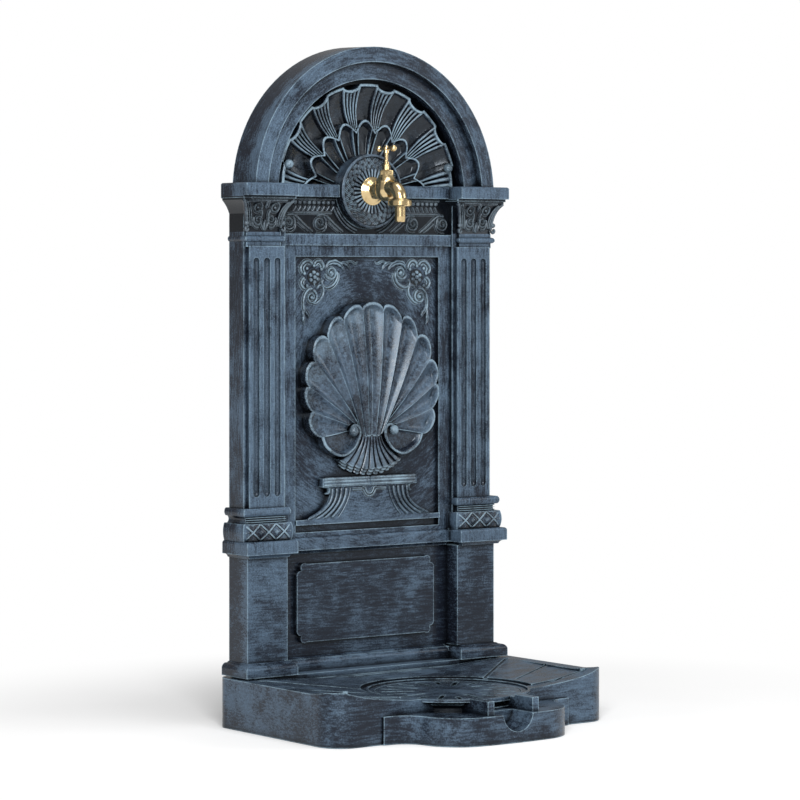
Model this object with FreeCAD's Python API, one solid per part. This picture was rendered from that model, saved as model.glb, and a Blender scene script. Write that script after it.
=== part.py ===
import FreeCAD, Part
import math
import os

from FreeCAD import Vector

# Garden wall fountain, in millimetres.
# The drawing frame has X to the right, Z up and the column's rear plane at y = 0.
# The front looks towards -Y. Each piece is moved by origin_shift when it is written,
# so that the finished object has its origin at the middle of its base.

# Widths of the column, each half of the full width
body_half = 174.0
foot_half = 184.0
cap_half = 183.2
cornice_half = 185.0
block_inner = 115.0
dado_inner = 120.0
side_zone_inner = 118.0
panel_half = 101.5
neck_half = 171.0

# Depths of the column, measured forward from the rear plane
neck_depth = 46.0
foot_depth = 50.0
foot_middle_depth = 27.0
dado_depth = 36.4
dado_field_depth = 15.5
cap_depth = 50.0
cap_middle_depth = 28.0
side_zone_depth = 29.0
pilaster_depth = 34.0
frame_depth = 25.0
panel_depth = 20.0
architrave_depth = 27.5
frieze_depth = 21.0
cornice_depth = 51.5
cornice_middle_depth = 28.0

# Heights of the column
deck_seat = 50.0
foot_bottom = 56.5
foot_top = 71.7
dado_top = 187.7
cap_bottom = 192.0
cap_top = 206.5
panel_bottom = 212.0
panel_top = 522.4
architrave_bottom = 535.0
architrave_top = 548.0
cornice_bottom = 590.0
cornice_top = 604.0

# Arch above the cornice
arch_centre = 593.0
arch_rear_radius = 169.8
arch_draft = 1.6
arch_front_radius = arch_rear_radius - arch_draft
arch_outer_band = 17.2
arch_band_radius = arch_front_radius - arch_outer_band
arch_inner_band = 19.3
arch_inner_radius = arch_band_radius - arch_inner_band
arch_depth = 44.0
arch_band_depth = 35.0
tympanum_depth = 10.0

# Hollow back of the column
wall = 3.5
rib = 2.5
rib_spacing = 60.0
panel_thickness = 3.0
panel_clearance = 0.4
rib_levels = (130.0, 300.0, 410.0, 500.0)

# Dado plaque
plaque_half = 96.8
plaque_bottom = 88.0
plaque_top = 176.0
plaque_rise = 6.3
plaque_corner_wide = 13.0
plaque_corner_high = 15.0
plaque_curve_near = 0.1
plaque_curve_far = 0.45
plaque_curve_middle = 0.5
plaque_curve_bend = 0.62

# Pilasters
pilaster_inner = 122.5
pilaster_outer = 169.6
base_inner = 115.5
base_outer = 182.4
base_depth = 41.0
base_cushion_top = 226.0
base_neck_top = 234.0
base_torus_top = 242.7
collar_bottom = 533.0
collar_top = 548.7
cove_top = 585.0
capital_depth = 45.0
capital_inner = 114.0
flute_radius = 4.2
flute_spacing = 14.2
flute_count = 3
flute_bottom = 255.0
flute_top = 521.0

# Console under the scallop
console_top_half = 66.1
console_bar_bottom = 262.0
console_bar_top = 271.7
console_waist_half = 54.0
console_foot_bottom = 220.3
console_foot_top = 226.0
console_rise = 7.0
console_bar_rise = 9.0

# Scallop shell, laid out on a circle round its own centre
scallop_centre = 372.0
scallop_cusp_radius = 88.8
scallop_tip_radius = 98.8
scallop_lobes = 13
scallop_step = 19.2
scallop_rise = 15.0
scallop_flute_half = 12.7
scallop_flute_depth = 7.0
scallop_flute_root_half = 1.6
scallop_flute_root_depth = 1.0
scallop_flute_centre = 83.5
scallop_throat_z = 325.0
scallop_throat_half = 22.0
scallop_throat_drop = 14.0
scallop_throat_bow = 5.0
scallop_last_low_x = 51.0
scallop_last_low_z = 296.5
scallop_eye_x = 27.9
scallop_eye_z = 324.0
scallop_eye_radius = 6.5
scallop_foot_rise = 10.0
scallop_foot_half = 47.0
scallop_foot_wide_z = 293.0
scallop_foot_bottom = 272.5
scallop_foot_flat = 28.0
scallop_foot_waist = 24.0
scallop_foot_groove_radius = 1.4
scallop_foot_grooves = 7
scallop_foot_groove_top = 5.0
scallop_foot_groove_bottom = 9.0

# Outer fan of the tympanum, laid out on circles round the arch's centre
fan_gap = 4.7
fan_rim_radius = arch_inner_radius - fan_gap
fan_end_radius = fan_rim_radius - 5.0
fan_rim_width = 3.0
fan_rim_depth = 27.0
fan_curve_radius = fan_rim_radius - 14.0
fan_curve_depth = 21.6
fan_bowl_radius = fan_rim_radius - 31.0
fan_bowl_depth = 17.0
fan_step = 22.2
fan_lobes = 7
fan_lobe_start = fan_rim_radius - 51.0
fan_lobe_start_half = 10.0
fan_lobe_end = fan_rim_radius - 3.3
fan_lobe_end_half = 13.0
fan_lobe_depth = 12.5
fan_lobe_curve_depth = 17.0
fan_notch_radius = 14.6
fan_notch_centre = fan_rim_radius + 9.6
fan_groove_offset = 3.0
fan_groove_half = 0.7
fan_groove_depth = 1.0
fan_ball_x = fan_rim_radius - 14.4
fan_ball_height = 33.0
fan_ball_radius = 5.3
fan_ball_depth = 27.2

# Inner fan
inner_fan_step = 21.0
inner_fan_lobes = 9
inner_fan_tip = 86.3
inner_fan_cusp = 74.0
inner_fan_depth = 20.6
inner_fan_throat = 40.0
inner_fan_throat_depth = 15.0
inner_fan_middle = 60.0
inner_fan_middle_depth = 17.0
inner_fan_crest = 77.0
inner_cup_start = 44.0
inner_cup_start_half = 4.5
inner_cup_end = 83.0
inner_cup_end_half = 8.6
inner_cup_depth = 12.5
inner_cup_flat_end = 64.0
inner_cup_curve_radius = 76.0
inner_cup_curve_depth = 15.0
inner_groove_half = 0.6
inner_groove_depth = 0.8

# Rosette behind the tap
tap_height = 597.2
rosette_radius = 42.2
rosette_front = 34.0
rosette_rim = 3.0
rosette_hub_front = 29.5
rosette_flutes = 24
rosette_flute_depth = 1.6
rosette_flute_end = 31.0
rosette_dish_radius = 27.0
rosette_sink = 2.5

# Tap, with its valve axis at tap_reach in front of the rear plane
tap_reach = 59.6
flange_radius = 16.35
flange_edge = 3.0
flange_dome = 4.0
gasket_thickness = 1.5
gasket_radius = 14.0
tap_neck_radius = 7.5
tail_radius = 10.4
tail_rear = 19.0
water_bore = 5.0
tail_clearance = 0.4
chamber_radius = 12.3
chamber_bottom = 586.8
chamber_top = 611.7
chamber_bore = 10.0
lower_bore = 6.5
seat_bore = 4.5
seat_bottom = 601.0
seat_height = 603.0
port_radius = 3.0
spout_radius = 8.0
spout_height = 599.5
spout_bend_radius = 12.0
outlet_reach = 85.7
spout_end_radius = 10.3
spout_end_bottom = 583.0
spout_end_top = 588.5

# Bonnet, gland and spindle
running_clearance = 0.08
bonnet_flats = 22.0
bonnet_top = 620.5
bonnet_skirt_bottom = 606.0
bonnet_skirt_bore = 7.2
bonnet_washer_thickness = 0.8
thread_radius = 4.0
thread_stop = 617.8
gland_neck_radius = 3.3
gland_neck_top = 625.0
gland_flats = 8.4
gland_bottom = 621.0
gland_top = 629.8
packing_height = 1.5
spindle_radius = 2.25
spindle_thread_bottom = 606.7
spindle_thread_top = 613.8
valve_radius = 5.9
valve_washer_thickness = 2.0
valve_disc_thickness = 1.5
valve_stem_radius = 1.5
valve_stem_length = 3.5
valve_stud_radius = 1.2

# Tee handle
handle_height = 645.0
handle_bar_half = 14.0
handle_bar_radius = 1.7
handle_ball_radius = 3.9
handle_hub_radius = 3.4
handle_hub_bottom = 639.5
handle_screw_radius = 2.1
handle_screw_shank = 1.05
handle_screw_sink = 1.2

# Union nut and hose tail
union_radius = 13.35
union_top = 586.3
union_bottom = 579.0
union_lip = 2.0
tail_tube_radius = 6.2
tail_tube_taper = 0.4
tail_tube_bore = 4.6
tail_tube_bottom = 561.4
tail_taper_length = 6.0
tail_shoulder_radius = 6.4
tail_shoulder_drop = 0.6
tail_collar_radius = 9.8
tail_collar_thickness = 1.0

# Rear fittings of the tap
back_washer_thickness = 1.5
back_washer_radius = 17.0
back_nut_flats = 27.0
back_nut_thickness = 6.0
nipple_hex_flats = 26.0
nipple_hex_length = 14.0
nipple_gap = 0.8
nipple_radius = 8.0
nipple_length = 13.0
nipple_root = 2.0
nipple_groove_depth = 1.6
nipple_groove_near = 3.5
nipple_groove_far = 5.5
inlet_seal_thickness = 1.5

# Basin
basin_half = 191.5
basin_wall_front = 225.0
basin_front = 298.0
rear_corner = 18.0
front_corner = 30.0
rim_width = 17.0
rim_height = 55.0
rim_corner_height = 58.5
rim_dip_start = 175.0
rim_slope_rear = 180.0
rim_slope_front = 207.0
wing_outer = 128.0
wing_rise_x = 150.0
wing_rise_height = 52.0
wing_curve_x = 163.0
wing_curve_height = 55.2
wing_height = 48.7
wing_inner = 90.0
lip_height = 45.0
clear_above = 95.0
ledge_height = 30.5
lower_half = 128.0
lower_face = 228.0
lower_rear = 200.0
nose_half = 46.0
nose_fall = 2.2
bow_curve_x = 75.0
bow_curve_front = 284.0
bow_end_x = 90.5
bow_end_front = 261.0
bow_straight_x = 93.0
bow_straight_front = 250.0
bow_hollow_x = 99.0
bow_hollow_front = 238.5
bow_foot_x = 112.0
bow_foot_front = 229.6
dish_centre = 174.0
dish_radius = 91.0
dish_foot_radius = 78.0
dish_lip_bottom = 41.5
deck_start_radius = 97.0
deck_start_height = 46.7
deck_slope = 0.0815
ring_height = 43.0
seat_ledge_height = 38.5
sump_radius = 72.0
sump_floor = 32.5
column_seat_depth = 52.0
channel_half = 26.5
channel_wall_outer = 35.0
channel_wall_front = 289.0
channel_edge = 262.0
notch_radius = 20.3
notch_height = 32.3
tile_groove_depth = 1.6
# Each groove of the tray's floor is given by its inner end, its outer end and its width
wide_groove = (84.0, -133.0, 176.0, -60.0, 4.5)
middle_groove = (103.0, -167.0, 178.0, -129.0, 3.0)
front_groove = (100.0, -219.0, 174.0, -193.0, 3.0)
basin_wall = 3.5
under_rib_spacing_x = 62.0
under_rib_spacing_y = 72.0
front_cell_half = 84.0
front_cell_front = 262.0

# Grate
grate_clearance = 0.5
grate_radius = 80.0
grate_slot_outer = 75.0
grate_disc_radius = 37.5
grate_slot_width = 5.0
grate_slots = 20
grate_short_start = 52.0

# Screws
screw_shank = 1.9
screw_head = 3.8
screw_head_thickness = 2.2
screw_dimple = 1.2
screw_hole_clearance = 0.05
boss_radius = 5.0
tap_boss_radius = 20.0
panel_screw_length = 12.0
column_screw_length = 18.0
relief_screw_length = 8.0
panel_screw_x = 148.0
panel_screw_levels = (95.0, 350.0, 566.0)
arch_screw_inset = 19.8
arch_screw_radius = arch_rear_radius - arch_screw_inset
arch_screw_angle = 45.0
column_screw_x = 148.0
column_screw_depths = (14.0, 38.0)
relief_screw_x = 28.0
scallop_screw_z = 385.0
fan_screw_radius = fan_rim_radius - 21.0

# The overall depth settles where the middle of the base is
nipple_start = back_washer_thickness + back_nut_thickness + nipple_gap
overall_rear = nipple_start + nipple_hex_length + nipple_length
origin_shift = (basin_front - overall_rear) / 2

X_AXIS = Vector(1, 0, 0)
Y_AXIS = Vector(0, 1, 0)
Z_AXIS = Vector(0, 0, 1)


# Drawing helpers
def box(x0, x1, y0, y1, z0, z1):
    return Part.makeBox(x1 - x0, y1 - y0, z1 - z0, Vector(x0, y0, z0))


def outline(points, place):
    """A closed wire. Two numbers draw a line to that point, four draw an arc through the first pair."""
    edges = []
    first = place(*points[0])
    here = first
    for point in points[1:]:
        there = place(*point[-2:])
        if len(point) == 4:
            edges.append(Part.Arc(here, place(*point[:2]), there).toShape())
        else:
            edges.append(Part.LineSegment(here, there).toShape())
        here = there
    if here.distanceToPoint(first) > 1e-6:
        edges.append(Part.LineSegment(here, first).toShape())
    return Part.Wire(edges)


def prism_x(points, x0, x1):
    """Points are (y, z)."""
    wire = outline(points, lambda y, z: Vector(x0, y, z))
    return Part.Face(wire).extrude(Vector(x1 - x0, 0, 0))


def prism_y(points, y0, y1):
    """Points are (x, z)."""
    wire = outline(points, lambda x, z: Vector(x, y0, z))
    return Part.Face(wire).extrude(Vector(0, y1 - y0, 0))


def prism_z(points, z0, z1):
    """Points are (x, y)."""
    wire = outline(points, lambda x, y: Vector(x, y, z0))
    return Part.Face(wire).extrude(Vector(0, 0, z1 - z0))


def turned_z(points, x=0.0, y=0.0):
    """Points are (radius, z)."""
    wire = outline(points, lambda r, z: Vector(x + r, y, z))
    return Part.Face(wire).revolve(Vector(x, y, 0), Z_AXIS, 360)


def turned_y(points, x=0.0, z=0.0):
    """Points are (radius, y)."""
    wire = outline(points, lambda r, y: Vector(x + r, y, z))
    return Part.Face(wire).revolve(Vector(x, 0, z), Y_AXIS, 360)


def rod_y(radius, y0, y1, x=0.0, z=0.0):
    return Part.makeCylinder(radius, y1 - y0, Vector(x, y0, z), Y_AXIS)


def rod_z(radius, z0, z1, x=0.0, y=0.0):
    return Part.makeCylinder(radius, z1 - z0, Vector(x, y, z0), Z_AXIS)


def rod(radius, start, end):
    return Part.makeCylinder(radius, start.distanceToPoint(end), start, end - start)


def tube_y(outer, inner, y0, y1, x=0.0, z=0.0):
    return rod_y(outer, y0, y1, x, z).cut(rod_y(inner, y0, y1, x, z))


def tube_z(outer, inner, z0, z1, x=0.0, y=0.0):
    return rod_z(outer, z0, z1, x, y).cut(rod_z(inner, z0, z1, x, y))


def hexagon(flats, place):
    corner = flats / math.sqrt(3)
    corners = []
    for step in range(6):
        angle = math.radians(60 * step + 30)
        corners.append((corner * math.cos(angle), corner * math.sin(angle)))
    return outline(corners, place)


def hex_z(flats, z0, z1, y):
    face = Part.Face(hexagon(flats, lambda a, b: Vector(a, y + b, z0)))
    return face.extrude(Vector(0, 0, z1 - z0))


def hex_y(flats, y0, y1, z):
    face = Part.Face(hexagon(flats, lambda a, b: Vector(a, y0, z + b)))
    return face.extrude(Vector(0, y1 - y0, 0))


def mirrored(shape):
    return shape.mirror(Vector(0, 0, 0), X_AXIS)


def both_sides(shape):
    return [shape, mirrored(shape)]


def joined(shapes):
    shapes = list(shapes)
    if len(shapes) == 1:
        return shapes[0]
    return shapes[0].multiFuse(shapes[1:])


def carved(shape, tools):
    """Cut the tools away one after the other."""
    for tool in tools:
        shape = shape.cut(tool)
    return shape


def inset_profile(profile, to_point):
    """Turn (inset, z) steps into outline points."""
    points = []
    for step in profile:
        point = []
        for index in range(0, len(step), 2):
            point.extend(to_point(step[index], step[index + 1]))
        points.append(tuple(point))
    return points


def moulded_strip(x0, x1, depth, profile):
    """A straight moulding, with its profile given as (inset, z) steps from the bottom up."""
    front = inset_profile(profile, lambda inset, z: (-depth + inset, z))
    ends = [(0.0, profile[-1][-1]), (0.0, profile[0][-1])]
    return prism_x(front + ends, x0, x1)


def moulded_block(x0, x1, depth, profile):
    """A block whose moulding runs round its front and both sides, with mitred corners."""
    middle = (x0 + x1) / 2
    strip = moulded_strip(x0, x1, depth, profile)
    side = inset_profile(profile, lambda inset, z: (x1 - inset, z))
    ends = [(middle, profile[-1][-1]), (middle, profile[0][-1])]
    half = prism_y(side + ends, -depth, 0.0)
    other_half = half.mirror(Vector(middle, 0, 0), X_AXIS)
    return strip.common(half.fuse(other_half))


def save(name, shape):
    placed = shape.copy()
    placed.translate(Vector(0, origin_shift, 0))
    placed.exportStep("parts/" + name + ".step")
    box_now = placed.BoundBox
    print(name, "solids", len(placed.Solids), "valid", placed.isValid(),
          "volume", round(placed.Volume), "z", round(box_now.ZMin, 1), round(box_now.ZMax, 1),
          "y", round(box_now.YMin, 1), round(box_now.YMax, 1))


# Mouldings of the column, from the bottom up
foot_profile = [(0.0, foot_bottom), (0.0, foot_top - 7.0),
                (1.5, foot_top - 3.5, 5.0, foot_top - 1.6), (7.0, foot_top - 1.6), (9.5, foot_top)]
cap_profile = [(8.7, dado_top), (7.2, dado_top), (5.5, dado_top + 2.8, 2.0, cap_bottom),
               (0.0, cap_bottom), (0.0, cap_top - 3.0), (0.9, cap_top - 0.9, 3.0, cap_top)]
cornice_profile = [(0.0, cornice_bottom), (0.0, cornice_top - 1.5), (1.5, cornice_top)]
base_profile = [(1.6, cap_top), (0.0, cap_top + 9.7, 1.6, base_cushion_top),
                (5.5, base_cushion_top), (7.5, base_cushion_top + 4.0, 5.5, base_neck_top),
                (3.6, base_neck_top), (1.8, (base_neck_top + base_torus_top) / 2, 3.6, base_torus_top)]
capital_profile = [(12.5, collar_bottom), (12.5, collar_bottom + 5.7),
                   (9.0, collar_bottom + 9.0, 12.5, collar_bottom + 12.4),
                   (12.5, collar_top), (9.8, cove_top - 12.0, 1.6, cove_top),
                   (1.6, cove_top + 2.0), (0.0, cove_top + 2.0), (0.0, cornice_bottom)]


def column_body():
    neck = box(-neck_half, neck_half, -neck_depth, 0, deck_seat, foot_bottom)
    shaft = box(-body_half, body_half, -dado_field_depth, 0, foot_bottom, cornice_bottom)
    centre = box(-side_zone_inner, side_zone_inner, -frame_depth, 0, cap_top, architrave_bottom)
    sides = box(side_zone_inner, body_half, -side_zone_depth, 0, cap_top, cornice_bottom)
    dado = box(dado_inner, body_half, -dado_depth, 0, foot_top, dado_top)
    foot = moulded_block(block_inner, foot_half, foot_depth, foot_profile)
    cap = moulded_block(block_inner, cap_half, cap_depth, cap_profile)
    cornice = moulded_block(block_inner, cornice_half, cornice_depth, cornice_profile)
    foot_middle = moulded_strip(-block_inner, block_inner, foot_middle_depth, foot_profile)
    cap_middle = moulded_strip(-block_inner, block_inner, cap_middle_depth, cap_profile)
    cornice_middle = moulded_strip(-block_inner, block_inner, cornice_middle_depth, cornice_profile)
    architrave = box(-side_zone_inner, side_zone_inner, -architrave_depth, 0,
                     architrave_bottom, architrave_top)
    frieze = box(-side_zone_inner, side_zone_inner, -frieze_depth, 0, architrave_top, cornice_bottom)
    pieces = [neck, shaft, centre, foot_middle, cap_middle, cornice_middle, architrave, frieze, arch()]
    for piece in (sides, dado, foot, cap, cornice, pilaster()):
        pieces.extend(both_sides(piece))
    body = joined(pieces)
    sunk_panel = box(-panel_half, panel_half, -frame_depth, -panel_depth, panel_bottom, panel_top)
    body = body.cut(sunk_panel)
    return joined([body, plaque(), console()])


def arch():
    """The round head, with two stepped bands in front of a sunk field."""
    head = Part.makeCone(arch_rear_radius, arch_front_radius, arch_depth,
                         Vector(0, 0, arch_centre), Vector(0, -1, 0))
    head = head.cut(rod_y(arch_band_radius, -arch_depth, -arch_band_depth, 0, arch_centre))
    head = head.cut(rod_y(arch_inner_radius, -arch_depth, -tympanum_depth, 0, arch_centre))
    above = box(-arch_rear_radius, arch_rear_radius, -arch_depth, 0,
                arch_centre, arch_centre + arch_rear_radius)
    return head.common(above)


def pilaster():
    """One fluted pilaster with its moulded base and capital, on the +X side."""
    shaft = box(pilaster_inner, pilaster_outer, -pilaster_depth, 0, cap_top, collar_bottom + 1.0)
    base = moulded_block(base_inner, base_outer, base_depth, base_profile)
    capital = moulded_block(capital_inner, cornice_half, capital_depth, capital_profile)
    shape = joined([shaft, base, capital])
    middle = (pilaster_inner + pilaster_outer) / 2
    for index in range(flute_count):
        x = middle + flute_spacing * (index - (flute_count - 1) / 2)
        shape = shape.cut(flute(x))
    return shape


def flute(x):
    """A half-round groove with round ends."""
    low = Vector(x, -pilaster_depth, flute_bottom + flute_radius)
    high = Vector(x, -pilaster_depth, flute_top - flute_radius)
    groove = rod(flute_radius, low, high)
    return joined([groove, Part.makeSphere(flute_radius, low), Part.makeSphere(flute_radius, high)])


def plaque():
    """The bare plate on the dado, with a double curve cut out of each corner."""
    half = plaque_half
    low = plaque_bottom
    high = plaque_top
    wide = plaque_corner_wide
    tall = plaque_corner_high
    near_x = half - wide * plaque_curve_near
    far_x = half - wide * plaque_curve_far
    middle_x = half - wide * plaque_curve_middle
    near_rise = tall * plaque_curve_near
    middle_rise = tall * plaque_curve_middle
    bend_rise = tall * plaque_curve_bend
    right = [(half - wide, low), (far_x, low + near_rise, middle_x, low + middle_rise),
             (near_x, low + bend_rise, half, low + tall),
             (half, high - tall),
             (near_x, high - bend_rise, middle_x, high - middle_rise),
             (far_x, high - near_rise, half - wide, high)]
    half_plate = prism_y([(0.0, low)] + right + [(0.0, high)],
                         -dado_field_depth - plaque_rise, -dado_field_depth)
    return half_plate.fuse(mirrored(half_plate))


def console():
    """The stand under the scallop: a narrow waist that flares in a quarter circle to a wide foot bar."""
    front = -panel_depth - console_rise
    bar = box(-console_top_half, console_top_half, -panel_depth - console_bar_rise, -panel_depth,
              console_bar_bottom, console_bar_top)
    foot = box(-panel_half, panel_half, front, -panel_depth, console_foot_bottom, console_foot_top)
    flare = console_bar_bottom - console_foot_top
    near = flare * (1.0 - math.sqrt(0.5))
    waist = [(0.0, console_foot_top), (console_waist_half + flare, console_foot_top),
             (console_waist_half + near, console_foot_top + near, console_waist_half, console_bar_bottom),
             (0.0, console_bar_bottom)]
    half = prism_y(waist, front, -panel_depth)
    return joined([bar, foot, half, mirrored(half)])


def hollow_zones():
    """The hollow behind each part of the front, as solids to cut away."""
    inside = body_half - wall
    side_inner = side_zone_inner + wall
    block_in = block_inner + wall
    rear = -panel_thickness
    side_zones = [
        (block_in, neck_half - wall, neck_depth - wall, deck_seat + wall, foot_bottom + wall),
        (block_in, inside, foot_depth - wall - 4.0, foot_bottom + wall, foot_top - wall),
        (dado_inner + wall, inside, dado_depth - wall, foot_top - wall, dado_top + wall),
        (block_in, inside, cap_depth - wall, cap_bottom + wall, cap_top - wall),
        (side_inner, inside, side_zone_depth - wall, cap_top - wall, cornice_bottom + wall),
        (block_in, inside, cornice_depth - wall, cornice_bottom + wall, cornice_top - wall)]
    zones = []
    for x0, x1, depth, z0, z1 in side_zones:
        zones.extend(both_sides(box(x0, x1, -depth, rear, z0, z1)))
    middle_zones = [
        (block_in, foot_middle_depth - wall, foot_bottom + wall, foot_top - wall),
        (inside, dado_field_depth - wall, deck_seat + wall, cornice_bottom),
        (block_in, cap_middle_depth - wall, cap_bottom + wall, cap_top - wall),
        (side_inner, panel_depth - wall, cap_top, cornice_bottom),
        (block_in, cornice_middle_depth - wall, cornice_bottom + wall, cornice_top - wall),
        (side_inner, tympanum_depth - wall, cornice_bottom - wall, arch_centre)]
    for half, depth, z0, z1 in middle_zones:
        zones.append(box(-half, half, -depth, rear, z0, z1))
    dome = rod_y(arch_rear_radius - wall - 1.0, -tympanum_depth + wall, rear, 0, arch_centre)
    band = tube_y(arch_front_radius - wall, arch_inner_radius + wall,
                  -arch_band_depth + wall, rear, 0, arch_centre)
    above = box(-arch_rear_radius, arch_rear_radius, -arch_depth, rear,
                arch_centre - 0.5, arch_centre + arch_rear_radius)
    band_above = box(-arch_rear_radius, arch_rear_radius, -arch_depth, rear,
                     cornice_top - wall, arch_centre + arch_rear_radius)
    zones.append(dome.common(above))
    zones.append(band.common(band_above))
    return joined(zones)


def stiffening_ribs():
    """Upright and level ribs that stay standing in the hollow back."""
    ribs = []
    rear = -panel_thickness
    top = arch_centre + arch_rear_radius
    for step in (-2, -1, 0, 1, 2):
        x = step * rib_spacing
        ribs.append(box(x - rib / 2, x + rib / 2, -cornice_depth, rear, deck_seat, top))
    for z in rib_levels:
        ribs.append(box(-body_half, body_half, -cornice_depth, rear, z - rib / 2, z + rib / 2))
    return joined(ribs)


def panel_screw_points():
    points = []
    for z in panel_screw_levels:
        points.append((panel_screw_x, z))
    angle = math.radians(arch_screw_angle)
    points.append((arch_screw_radius * math.cos(angle), arch_centre + arch_screw_radius * math.sin(angle)))
    return points + [(-x, z) for x, z in points]


def relief_screw_points():
    """Places of the screws that hold the scallop and the fans, as (x, z, plane of the wall's front)."""
    points = []
    for x in (-relief_screw_x, relief_screw_x):
        points.append((x, scallop_screw_z, panel_depth))
    for steps in (-2.5, -0.5, 0.5, 2.5):
        points.append(polar(arch_centre, fan_screw_radius, steps * fan_step) + (tympanum_depth,))
    return points


def column_screw_points():
    points = []
    for depth in column_screw_depths:
        points.append((column_screw_x, -depth))
        points.append((-column_screw_x, -depth))
    return points


def column_front():
    """The moulded front: an open-backed shell with ribs, screw bosses and the tap's hole."""
    hollow = hollow_zones().cut(stiffening_ribs())
    bosses = []
    for x, z in panel_screw_points():
        bosses.append(rod_y(boss_radius, -cornice_depth, -panel_thickness, x, z))
    for x, y in column_screw_points():
        bosses.append(rod_z(boss_radius, deck_seat, deck_seat + column_screw_length, x, y))
    tap_boss = rod_y(tap_boss_radius, -cornice_depth, -panel_thickness, 0, tap_height)
    rosette_wall = rod_y(rosette_radius + wall, -cornice_depth, -tympanum_depth + wall, 0, tap_height)
    hollow = hollow.cut(joined(bosses + [tap_boss, rosette_wall]))
    shape = column_body().cut(hollow)
    rear_seat = panel_outline(panel_clearance, -panel_thickness, 1.0)
    shape = shape.cut(rear_seat)
    hole = screw_shank + screw_hole_clearance
    holes = [rod_y(tail_radius + tail_clearance, -cornice_depth, 0, 0, tap_height)]
    for x, z in panel_screw_points():
        holes.append(rod_y(hole, -panel_screw_length - 1.0, 0, x, z))
    for x, y in column_screw_points():
        holes.append(rod_z(hole, deck_seat - 1.0, deck_seat + column_screw_length - 3.0, x, y))
    for x, z, plane in relief_screw_points():
        holes.append(rod_y(hole, -plane - 1.0, -plane + wall + 1.0, x, z))
    rosette_seat = rod_y(rosette_radius + panel_clearance, -cornice_depth, -tympanum_depth, 0, tap_height)
    return shape.cut(joined(holes)).cut(rosette_seat)


def panel_outline(grow, y0, y1):
    """The back panel's outline, grown all round by a clearance."""
    half = body_half - wall + 0.5 + grow
    radius = arch_rear_radius - wall - 0.5 + grow
    bottom = deck_seat + wall - 0.5 - grow
    rise = math.sqrt(radius ** 2 - half ** 2) if radius > half else 0.0
    spring = arch_centre + rise
    reach = min(half, radius)
    points = [(-half, bottom), (half, bottom), (half, spring)]
    if reach < half:
        points.append((reach, spring))
    points.append((0.0, arch_centre + radius, -reach, spring))
    if reach < half:
        points.append((-half, spring))
    return prism_y(points, y0, y1)


def back_panel():
    """The flat rear cover, with its screw holes and the tap's hole."""
    plate = panel_outline(0.0, -panel_thickness, 0.0)
    holes = [rod_y(tail_radius + tail_clearance, -panel_thickness, 1, 0, tap_height)]
    for x, z in panel_screw_points():
        holes.append(rod_y(screw_shank + screw_hole_clearance, -panel_thickness, 1, x, z))
        holes.append(rod_y(screw_head + 0.3, -screw_head_thickness, 1, x, z))
    return plate.cut(joined(holes))


def screw(start, direction, length):
    """A pan-head screw. The head's underside lies at start and the shank runs along direction."""
    way = Vector(direction)
    way.normalize()
    shank = Part.makeCylinder(screw_shank, length, start, way)
    head = Part.makeCylinder(screw_head, screw_head_thickness, start - way * screw_head_thickness, way)
    slot_centre = start - way * screw_head_thickness
    slot = Part.makeSphere(screw_dimple, slot_centre)
    return head.fuse(shank).cut(slot)


def panel_screws():
    screws = []
    for x, z in panel_screw_points():
        screws.append(screw(Vector(x, -screw_head_thickness, z), Vector(0, -1, 0),
                            panel_screw_length - screw_head_thickness))
    return Part.makeCompound(screws)


def column_screws():
    screws = []
    deck_bottom = deck_seat - basin_wall
    for x, y in column_screw_points():
        screws.append(screw(Vector(x, y, deck_bottom), Z_AXIS, column_screw_length - 4.0 + basin_wall))
    return Part.makeCompound(screws)


def relief_screws():
    screws = []
    for x, z, plane in relief_screw_points():
        screws.append(screw(Vector(x, -plane + wall, z), Vector(0, -1, 0), relief_screw_length - 0.5))
    return Part.makeCompound(screws)


def polar(centre, radius, angle):
    """A point on a circle in the front view. The angle is in degrees from straight up, towards +X."""
    turn = math.radians(angle)
    return (radius * math.sin(turn), centre + radius * math.cos(turn))


def scalloped_edge(centre, cusp, tip, step, lobes):
    """Arcs from the right-hand end of a scalloped rim over its top to the left-hand end."""
    start = step * lobes / 2
    points = [polar(centre, cusp, start)]
    for index in range(lobes):
        angle = start - step * index
        points.append(polar(centre, tip, angle - step / 2) + polar(centre, cusp, angle - step))
    return points


def scoop(root, tip, root_half, tip_half, root_depth, tip_depth, face):
    """A shallow tapering channel with a round end. Half widths and depths are at its two ends."""
    root_radius = (root_half ** 2 + root_depth ** 2) / (2 * root_depth)
    tip_radius = (tip_half ** 2 + tip_depth ** 2) / (2 * tip_depth)
    start = Vector(root[0], -face - root_radius + root_depth, root[1])
    end = Vector(tip[0], -face - tip_radius + tip_depth, tip[1])
    cone = Part.makeCone(root_radius, tip_radius, start.distanceToPoint(end), start, end - start)
    return cone.fuse(Part.makeSphere(tip_radius, end))


def turned_about_arch(shape, angle):
    """The shape turned about the arch's centre. The angle is in degrees towards +X."""
    turned = shape.copy()
    turned.rotate(Vector(0, 0, arch_centre), Y_AXIS, angle)
    return turned


def slot_upward(start, start_half, end, end_half):
    """An upright slot above the arch's centre, widening to a round outer end. Start and end are radii."""
    low = arch_centre + start
    high = arch_centre + end - end_half
    plan = [(-start_half, low), (start_half, low), (end_half, high),
            (0.0, arch_centre + end, -end_half, high)]
    return prism_y(plan, -arch_depth, -tympanum_depth)


def room_before(profile):
    """The space in front of a surface turned about the arch's centre. The profile runs outwards."""
    ends = [(profile[-1][-2], -arch_depth), (profile[0][0], -arch_depth)]
    return turned_y(profile + ends, 0, arch_centre)


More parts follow.
